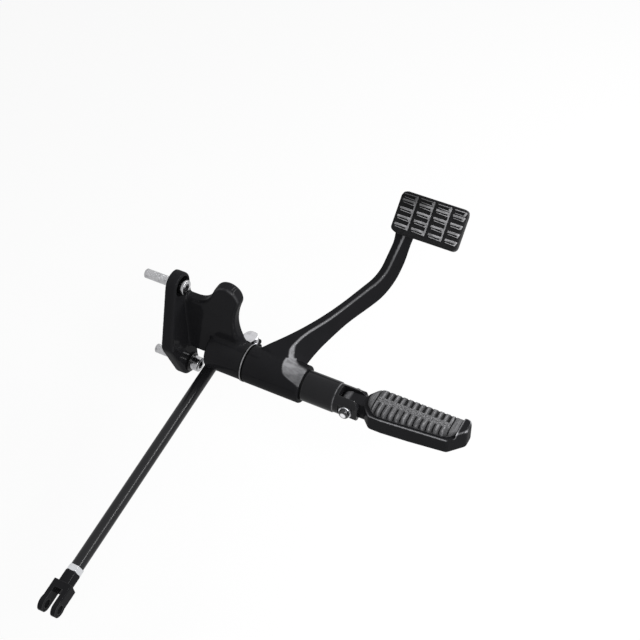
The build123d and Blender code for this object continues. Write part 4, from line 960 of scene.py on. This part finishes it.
def soften(name, node, voxel, passes, junction=None, extra=0, faded=None):
    """Copy of a CAD node with the rounded edges and flowing junctions of a casting or forging."""
    form = bmesh.new()
    form.from_mesh(frame["nodes"][node].data)
    bmesh.ops.remove_doubles(form, verts=form.verts, dist=1e-6)
    piece = add_piece(name, form, Matrix.Identity(4), node)
    remesh = piece.modifiers.new("skin", "REMESH")
    remesh.mode = "VOXEL"
    remesh.voxel_size = voxel
    bake_modifiers(piece)
    with opened(piece) as form:
        relax(form, form.verts, passes)
        if junction:
            relax(form, [vert for vert in form.verts if junction(vert.co / MM)], extra)
        smooth_faces(form, 180)
        # Painted highlight along the convex edges that look up
        worn_and_lit = worn_lit_edges(form, faded) if faded else None
    if worn_and_lit:
        mark(piece, "ridge", worn_and_lit)
    return piece


def near_hub_junction(point):
    """Where the arm and the rod arm leave the hub."""
    return HUB_RANGE[0] + 2.5 < point.x < HUB_RANGE[1] - 2.5 and 17.4 < off_shaft(point) < 30


def near_boss_junction(point):
    """Where the bracket's web runs into its boss and its flange."""
    by_boss = 38 < point.x < 71 and 17.0 < off_shaft(point) < 24
    by_flange = 11.4 < point.x < 17 and abs(point.y) < 11 and point.z > -30
    return by_boss or by_flange


def nearest(outline, spot):
    """Nearest point of a closed outline to a spot, and the spot's offset from it."""
    found = []
    for first, second in zip(outline, outline[1:] + outline[:1]):
        along = second - first
        part = min(1.0, max(0.0, (spot - first).dot(along) / along.dot(along)))
        point = first + along * part
        found.append((point, spot - point))
    return min(found, key=lambda pair: pair[1].length)


class Arm:
    """The lever's arm: its middle line and, at each station on it, its section, in millimetres."""

    LAST = 120
    FLARE_END = 0.5

    def __init__(self, sizes):
        self.sizes = sizes
        root, knee, toe = Vector(sizes.root), Vector(sizes.knee), Vector(sizes.toe)
        self.start, self.into, self.out = root, (knee - root).normalized(), (toe - knee).normalized()
        turn = self.into.angle(self.out)
        setback = sizes.knee_radius * math.tan(turn / 2)
        self.first = (knee - root).length - setback
        self.bend = sizes.knee_radius * turn
        self.bend_end = knee + self.out * setback
        self.length = self.first + self.bend + (toe - knee).length - setback
        self.stations = [self.station(step / self.LAST) for step in range(self.LAST + 1)]

    def on_line(self, share):
        """Point and direction at a share of the middle line."""
        run = share * self.length
        if run < self.first:
            return self.start + self.into * run, self.into
        if run < self.first + self.bend:
            angle = (run - self.first) / self.sizes.knee_radius
            side = (self.out - self.into * self.into.dot(self.out)).normalized()
            point = self.start + self.into * self.first
            point += (self.into * math.sin(angle) + side * (1 - math.cos(angle))) * self.sizes.knee_radius
            return point, self.into * math.cos(angle) + side * math.sin(angle)
        return self.bend_end + self.out * (run - self.first - self.bend), self.out

    def station(self, share):
        """Place of a section and its sideways, upright and forward directions."""
        point, tangent = self.on_line(share)
        rest = max(0.0, 1 - share / self.FLARE_END)
        side = Vector((1 + rest, 0, 0)) - tangent * tangent.x
        tangent = (tangent - side * (tangent.dot(side) / side.dot(side))).normalized()
        side.normalize()
        return point, side, side.cross(tangent), tangent

    def between(self, spot):
        """The same at a spot that is counted in stations."""
        low = min(int(spot), self.LAST - 1)
        return [a.lerp(b, spot - low) for a, b in zip(self.stations[low], self.stations[low + 1])]

    def locate(self, point):
        """Share of the line, and sideways and upright distance of a point, or None past the line's ends."""
        low, high = 0, self.LAST
        ahead = [(point - self.stations[end][0]).dot(self.stations[end][3]) for end in (low, high)]
        if ahead[0] < 0 or ahead[1] > 0:
            return None
        while high - low > 1:
            middle = (low + high) // 2
            value = (point - self.stations[middle][0]).dot(self.stations[middle][3])
            if value >= 0:
                low, ahead[0] = middle, value
            else:
                high, ahead[1] = middle, value
        spot = low + ahead[0] / (ahead[0] - ahead[1])
        place, side, up, _ = self.between(spot)
        off = point - place
        return spot / self.LAST, off.dot(side), off.dot(up)

    def as_modelled(self, share):
        """Inboard edge, ridge, outboard edge and depth of the CAD section."""
        rest = max(0.0, 1 - share / self.FLARE_END)
        flare = rest ** 2.2
        return (-6 - 1.5 * share - 17 * flare, 0.7 - 3.7 * share + 5 * flare - 16 * rest * (1 - rest),
                7 - 0.5 * share + 15 * flare, 18 - 3 * share)

    def as_forged(self, share):
        """The same four sizes with the ridge, the knee and the toe as they look on the real lever."""
        inboard, _, outboard, depth = self.as_modelled(share)
        inboard -= self.sizes.toe_spread * ease(share, 0.86, 1.0)
        outboard += self.sizes.knee_spread * ease(share, 0.35, 0.6) * (1 - ease(share, 0.78, 0.92))
        dip = math.exp(-((share - 0.17) / 0.11) ** 2)
        ridge = 0.3 - 3.6 * dip + 8.5 * max(0.0, 1 - share / 0.1) ** 2
        return inboard, ridge, outboard, depth

    def reshaped(self, point):
        """New place of a point of the CAD arm, and how bright the painted highlight along the ridge is there,
        from 0 to 1.
        """
        found = self.locate(point)
        if not found:
            return point, 0.0
        share, across, height = found
        inboard, ridge, outboard, depth = self.as_modelled(share)
        if abs(height) > depth / 2 + 2 or not inboard - 2 < across < outboard + 2:
            return point, 0.0
        rise = min(1.0, max(0.0, height / depth + 0.5))
        right = outboard + (ridge - outboard) * rise
        outside = max(abs(height) - depth / 2, inboard - across, across - right)
        weight = ease(off_shaft(point), 19.5, 25) * (1 - ease(share, 0.955, 0.995))
        weight *= 1 - ease(outside, 0.6, 1.8)
        if weight <= 0:
            return point, 0.0
        position = (across - inboard) / max(right - inboard, 0.1)
        inboard, ridge, outboard, depth = self.as_forged(share)
        right = outboard + (ridge - outboard) * rise
        wanted = Vector((inboard + (right - inboard) * position, height))
        radius = self.sizes.crease
        run = outboard - ridge
        slope = math.hypot(run, depth)
        shrunk = [Vector((inboard + radius, depth / 2 - radius)),
                  Vector((ridge + run * radius / depth - radius * slope / depth, depth / 2 - radius)),
                  Vector((outboard - run * radius / depth - radius * slope / depth, radius - depth / 2)),
                  Vector((inboard + radius, radius - depth / 2))]
        corner, off = nearest(shrunk, wanted)
        if off.length < 0.2:
            return point, 0.0
        normal = off.normalized()
        snapped = corner + normal * radius
        place, side, up, _ = self.between(share * self.LAST)
        target = place + side * snapped.x + up * snapped.y
        crease = Vector((depth / slope, run / slope)) + Vector((0, 1))
        glint = max(0.0, 1 - (corner - shrunk[1]).length / 0.5)
        glint *= ease(normal.dot(crease.normalized()), 0.84, 0.99)
        glint *= 0.5 + 0.5 * ease(share, 0.78, 0.9) + 0.5 * (1 - ease(share, 0.2, 0.45))
        return point.lerp(target, weight), glint * weight


def scoop(point, arm):
    """How deeply boots have scooped the hub's outer end by the arm, how grey its painted reflection is, and
    how bright the painted highlight on its rim is.
    """
    radius = off_shaft(point)
    if not 98 < point.x < HUB_RANGE[1] + 0.5 or not 16.5 < radius < 44:
        return 0.0, 0.0, 0.0
    found = arm.locate(point) if radius > 19.5 else None
    if found:
        share, across, height = found
        _, ridge, _, depth = arm.as_forged(share)
        width = 6.5 * (1 - ease(share, -0.02, 0.13))
        if height < 0 or share > 0.13:
            return 0.0, 0.0, 0.0
        right = ridge + width + (depth / 2 - height) * 0.4
        deep = ease(across, ridge + 0.2, ridge + 0.8) * (1 - ease(across, right - 0.5, right + 0.5))
        return deep, deep, 0.0
    if radius > 23:
        return 0.0, 0.0, 0.0
    # Limits of the scooped patch and its painted reflection: along the shaft in millimetres, and round it in
    # degrees
    angle = math.degrees(math.atan2(point.z - SHAFT_Z, point.y))
    left = 105.5 + 3.4 * (1 - ease(angle, 50, 94)) + (angle - 37) * 0.115 + 14 * ease(angle, 112, 142) ** 2
    top = 37 + (point.x - 114.5) * 3.6 if point.x < 124.5 else 73 + (point.x - 124.5) * 0.8
    bottom = 127 + (point.x - 116.5) * 0.75
    deep = ease(angle, top - 4, top + 2) * (1 - ease(angle, bottom - 3, bottom + 5))
    deep *= ease(point.x, left - 0.5, left + 0.7)
    # Painted reflection on the patch, dimmer towards the outer end and the bottom, and a painted highlight
    # along its left edge
    grey = deep * (1 - 0.42 * ease(point.x, left + 7, left + 24)) * (1 - 0.5 * ease(angle, 92, 126))
    rim = (1 - ease(abs(point.x - left), 0.3, 0.9)) * (1 - ease(angle, 95, 118)) * ease(angle, 36, 44)
    return deep, grey, rim


class BRAKE_OT_lever(bpy.types.Operator):
    """Gives the lever the flowing skin of a forging"""
    bl_idname = "brake.lever"
    bl_label = "Forged lever"

    def execute(self, context):
        piece = soften("forged_lever", "brake_lever", 0.8 * MM, 2, near_hub_junction, 14)
        arm = Arm(context.scene.brake_lever)
        ridge = []
        buffed = []
        for vert in piece.data.vertices:
            point, glint = arm.reshaped(vert.co / MM)
            deep, grey, rim = scoop(point, arm)
            if deep > 0:
                axis = Vector((point.x, 0, SHAFT_Z))
                cone = (point.x - SCOOP_START) / (HUB_RANGE[1] - SCOOP_START)
                point -= (point - axis).normalized() * arm.sizes.scoop * deep * cone
            vert.co = point * MM
            # Painted highlight along the arm's ridge and the patch's rim, and painted reflection on the hub's
            # outer end
            ridge.append(max(glint, rim))
            buffed.append(grey)
        mark(piece, "ridge", ridge)
        mark(piece, "buffed", buffed)
        return {"FINISHED"}


class BRAKE_OT_castings(bpy.types.Operator):
    """Gives the bracket and the footpeg's tray the rounded skin of castings"""
    bl_idname = "brake.castings"
    bl_label = "Castings"

    def execute(self, context):
        # Painted highlights along upper edges: on the bracket only on the lobe's rim, on the tray along its
        # rim and lip; a painted reflection on the tang's top
        soften("cast_bracket", "mounting_bracket", 0.8 * MM, 4, near_boss_junction, 24,
               faded=lambda point: 1 - 0.85 * ease(point.x, 30, 42) * ease(point.z, 6, 14))
        tray = soften("cast_tray", "footpeg_body", 0.6 * MM, 4, faded=rim_faded)
        mark(tray, "buffed", [tang_top(vert.co / MM, vert.normal) for vert in tray.data.vertices])
        tray.data.materials[0] = finish_of("tray")
        return {"FINISHED"}


# Threads

def add_thread(name, node, thread, length, start, across, axis):
    """Adds a thread ridge that runs from its start along an axis and goes with a node."""
    radius, pitch = thread
    root = radius - pitch * 0.45
    turns = max(1, int(length / pitch) - 1)
    steps = 20
    form = bmesh.new()
    profile = ((root, 0.0), (radius, pitch * 0.38), (radius, pitch * 0.5), (root, pitch * 0.88))
    verts = [form.verts.new((r, 0, z)) for r, z in profile]
    edges = [form.edges.new(pair) for pair in zip(verts, verts[1:])]
    bmesh.ops.spin(form, geom=verts + edges, cent=(0, 0, 0), axis=(0, 0, 1), dvec=(0, 0, pitch / steps),
                   angle=2 * math.pi * turns, steps=steps * turns, use_merge=False, use_duplicate=False)
    add_piece(name, form, local_frame(start, across, axis), node, stands_for=False, slot="zinc")


class BRAKE_OT_threads(bpy.types.Operator):
    """Adds the threads of the frame bolts and of the rod's ends"""
    bl_idname = "brake.threads"
    bl_label = "Threads"

    def execute(self, context):
        for node, height in (("upper_frame_bolt", FRAME_BOLT_Z), ("lower_frame_bolt", -FRAME_BOLT_Z)):
            length = -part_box(node)[0][0] / MM - 1.2
            add_thread(node + "_thread", node, FRAME_THREAD, length, (-0.4, 0, height), (0, 0, 1), (-1, 0, 0))
        back = Vector((0, -math.cos(ROD_SLOPE), -math.sin(ROD_SLOPE)))
        for name, reach, length in (("front_rod_thread", 14.3, 8.5), ("rear_rod_thread", 256, 12)):
            start = Vector(ROD_PIN) + back * reach
            add_thread(name, "front_rod_end", ROD_THREAD, length, start, (1, 0, 0), back)
        return {"FINISHED"}


# Stage

def camera_axes(studio):
    """The camera's right, up and backward directions."""
    azimuth, elevation = studio.azimuth, studio.elevation
    right = Vector((math.cos(azimuth), math.sin(azimuth), 0))
    look = Vector((-math.sin(azimuth) * math.cos(elevation), math.cos(azimuth) * math.cos(elevation),
                   -math.sin(elevation)))
    up = right.cross(look)
    turn = Matrix.Rotation(-studio.roll, 3, look)
    return turn @ right, turn @ up, -look


def area_light(name, place, target, size, power):
    """Soft rectangular light that faces a point."""
    lamp = bpy.data.lights.new(name, "AREA")
    lamp.shape = "RECTANGLE"
    lamp.size = size[0]
    lamp.size_y = size[1]
    lamp.energy = power
    light = add_object(name, lamp)
    away = (Vector(place) - Vector(target)).normalized()
    light.matrix_world = Matrix.Translation(place) @ away.to_track_quat("Z", "Y").to_matrix().to_4x4()


def floor_material():
    """Pale floor that keeps the object's shadow and shows white to the camera and in reflections."""
    paint = Paint("pale_floor")
    paint.set(Base_Color=colour((0.86, 0.86, 0.86)), Roughness=0.9, Specular_IOR_Level=0.1)
    white = paint.add("ShaderNodeEmission", None, {"Color": colour((1, 1, 1)), "Strength": 1.0})
    grey = Signal(paint, paint.shader.outputs[0])
    mixed = paint.add("ShaderNodeMixShader", None, {0: paint.seen() * 0.85, 1: grey, 2: white})
    paint.feed(paint.tree.nodes["Material Output"].inputs["Surface"], mixed)
    return paint.material


class BRAKE_OT_stage(bpy.types.Operator):
    """Adds the pale floor, the soft lights and the camera"""
    bl_idname = "brake.stage"
    bl_label = "Studio stage"

    def execute(self, context):
        studio = context.scene.brake_studio
        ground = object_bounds()[0][2] - studio.floor_drop
        form = bmesh.new()
        bmesh.ops.create_grid(form, x_segments=8, y_segments=8, size=4.0)
        bmesh.ops.translate(form, verts=form.verts, vec=(0, 0, ground))
        floor = add_object("studio_floor", mesh_of("studio_floor", form))
        floor.data.materials.append(floor_material())
        floor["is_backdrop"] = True

        right, up, back = camera_axes(studio)
        lens = bpy.data.cameras.new("photo_camera")
        lens.lens = studio.lens
        lens.sensor_width = 36.0
        lens.clip_start = 0.01
        lens.clip_end = 50
        camera = add_object("photo_camera", lens)
        axes = Matrix((right, up, back)).transposed().to_4x4()
        camera.matrix_world = Matrix.Translation(studio.camera) @ axes
        context.scene.camera = camera

        middle = (0.14, 0.0, 0.0)
        area_light("key_light", (1.05, 0.3, 0.95), middle, (1.3, 0.14), studio.key_power)
        area_light("fill_light", (0.75, -0.75, 1.1), middle, (0.7, 0.12), studio.fill_power)
        area_light("rim_light", (0.55, 1.0, 0.75), middle, (0.12, 0.9), studio.rim_power)

        world = bpy.data.worlds.new("studio_world")
        world.use_nodes = True
        context.scene.world = world
        nodes = Nodes(world.node_tree)
        background = nodes.tree.nodes["Background"]
        level = studio.world_level
        nodes.feed(background.inputs["Color"], colour((1, 1, 1)))
        nodes.feed(background.inputs["Strength"], nodes.seen() * (1 - level) + level)
        context.scene.view_settings.view_transform = "Standard"
        return {"FINISHED"}


class BRAKE_OT_finishes(bpy.types.Operator):
    """Paints, plates and grinds the parts that keep their shape"""
    bl_idname = "brake.finishes"
    bl_label = "Finishes"

    def execute(self, context):
        for node, piece in frame["nodes"].items():
            finish = finish_of(SPECIAL.get(node, slot_of(node)))
            if not piece.material_slots:
                raise RuntimeError(node + " has no material slot")
            for slot in piece.material_slots:
                slot.material = finish
        return {"FINISHED"}


class BRAKE_PT_panel(bpy.types.Panel):
    """Lists the sizes, the colours and the steps that dress the control"""
    bl_idname = "BRAKE_PT_panel"
    bl_label = "Brake Control"
    bl_space_type = "VIEW_3D"
    bl_region_type = "UI"
    bl_category = "Brake Control"

    def draw(self, context):
        for group in (getattr(context.scene, name) for name in GROUPS):
            for name in group.__annotations__:
                self.layout.prop(group, name, text=name.replace("_", " ").capitalize())
        for step in STEPS:
            self.layout.operator(step.bl_idname)


STEPS = (BRAKE_OT_finishes, BRAKE_OT_pad, BRAKE_OT_tread, BRAKE_OT_lever, BRAKE_OT_castings, BRAKE_OT_threads,
         BRAKE_OT_stage)
GROUPS = {"brake_colours": BrakeColours, "brake_pad": PadSizes, "brake_peg": PegSizes,
          "brake_lever": LeverSizes, "brake_studio": StudioSizes}
CLASSES = (*GROUPS.values(), *STEPS, BRAKE_PT_panel)


def register():
    for kind in CLASSES:
        bpy.utils.register_class(kind)
    for name, kind in GROUPS.items():
        setattr(bpy.types.Scene, name, PointerProperty(type=kind))


def unregister():
    for name in GROUPS:
        delattr(bpy.types.Scene, name)
    for kind in reversed(CLASSES):
        bpy.utils.unregister_class(kind)


def main():
    register()
    for step in STEPS:
        group, name = step.bl_idname.split(".")
        getattr(getattr(bpy.ops, group), name)()


if __name__ == "__main__":
    main()
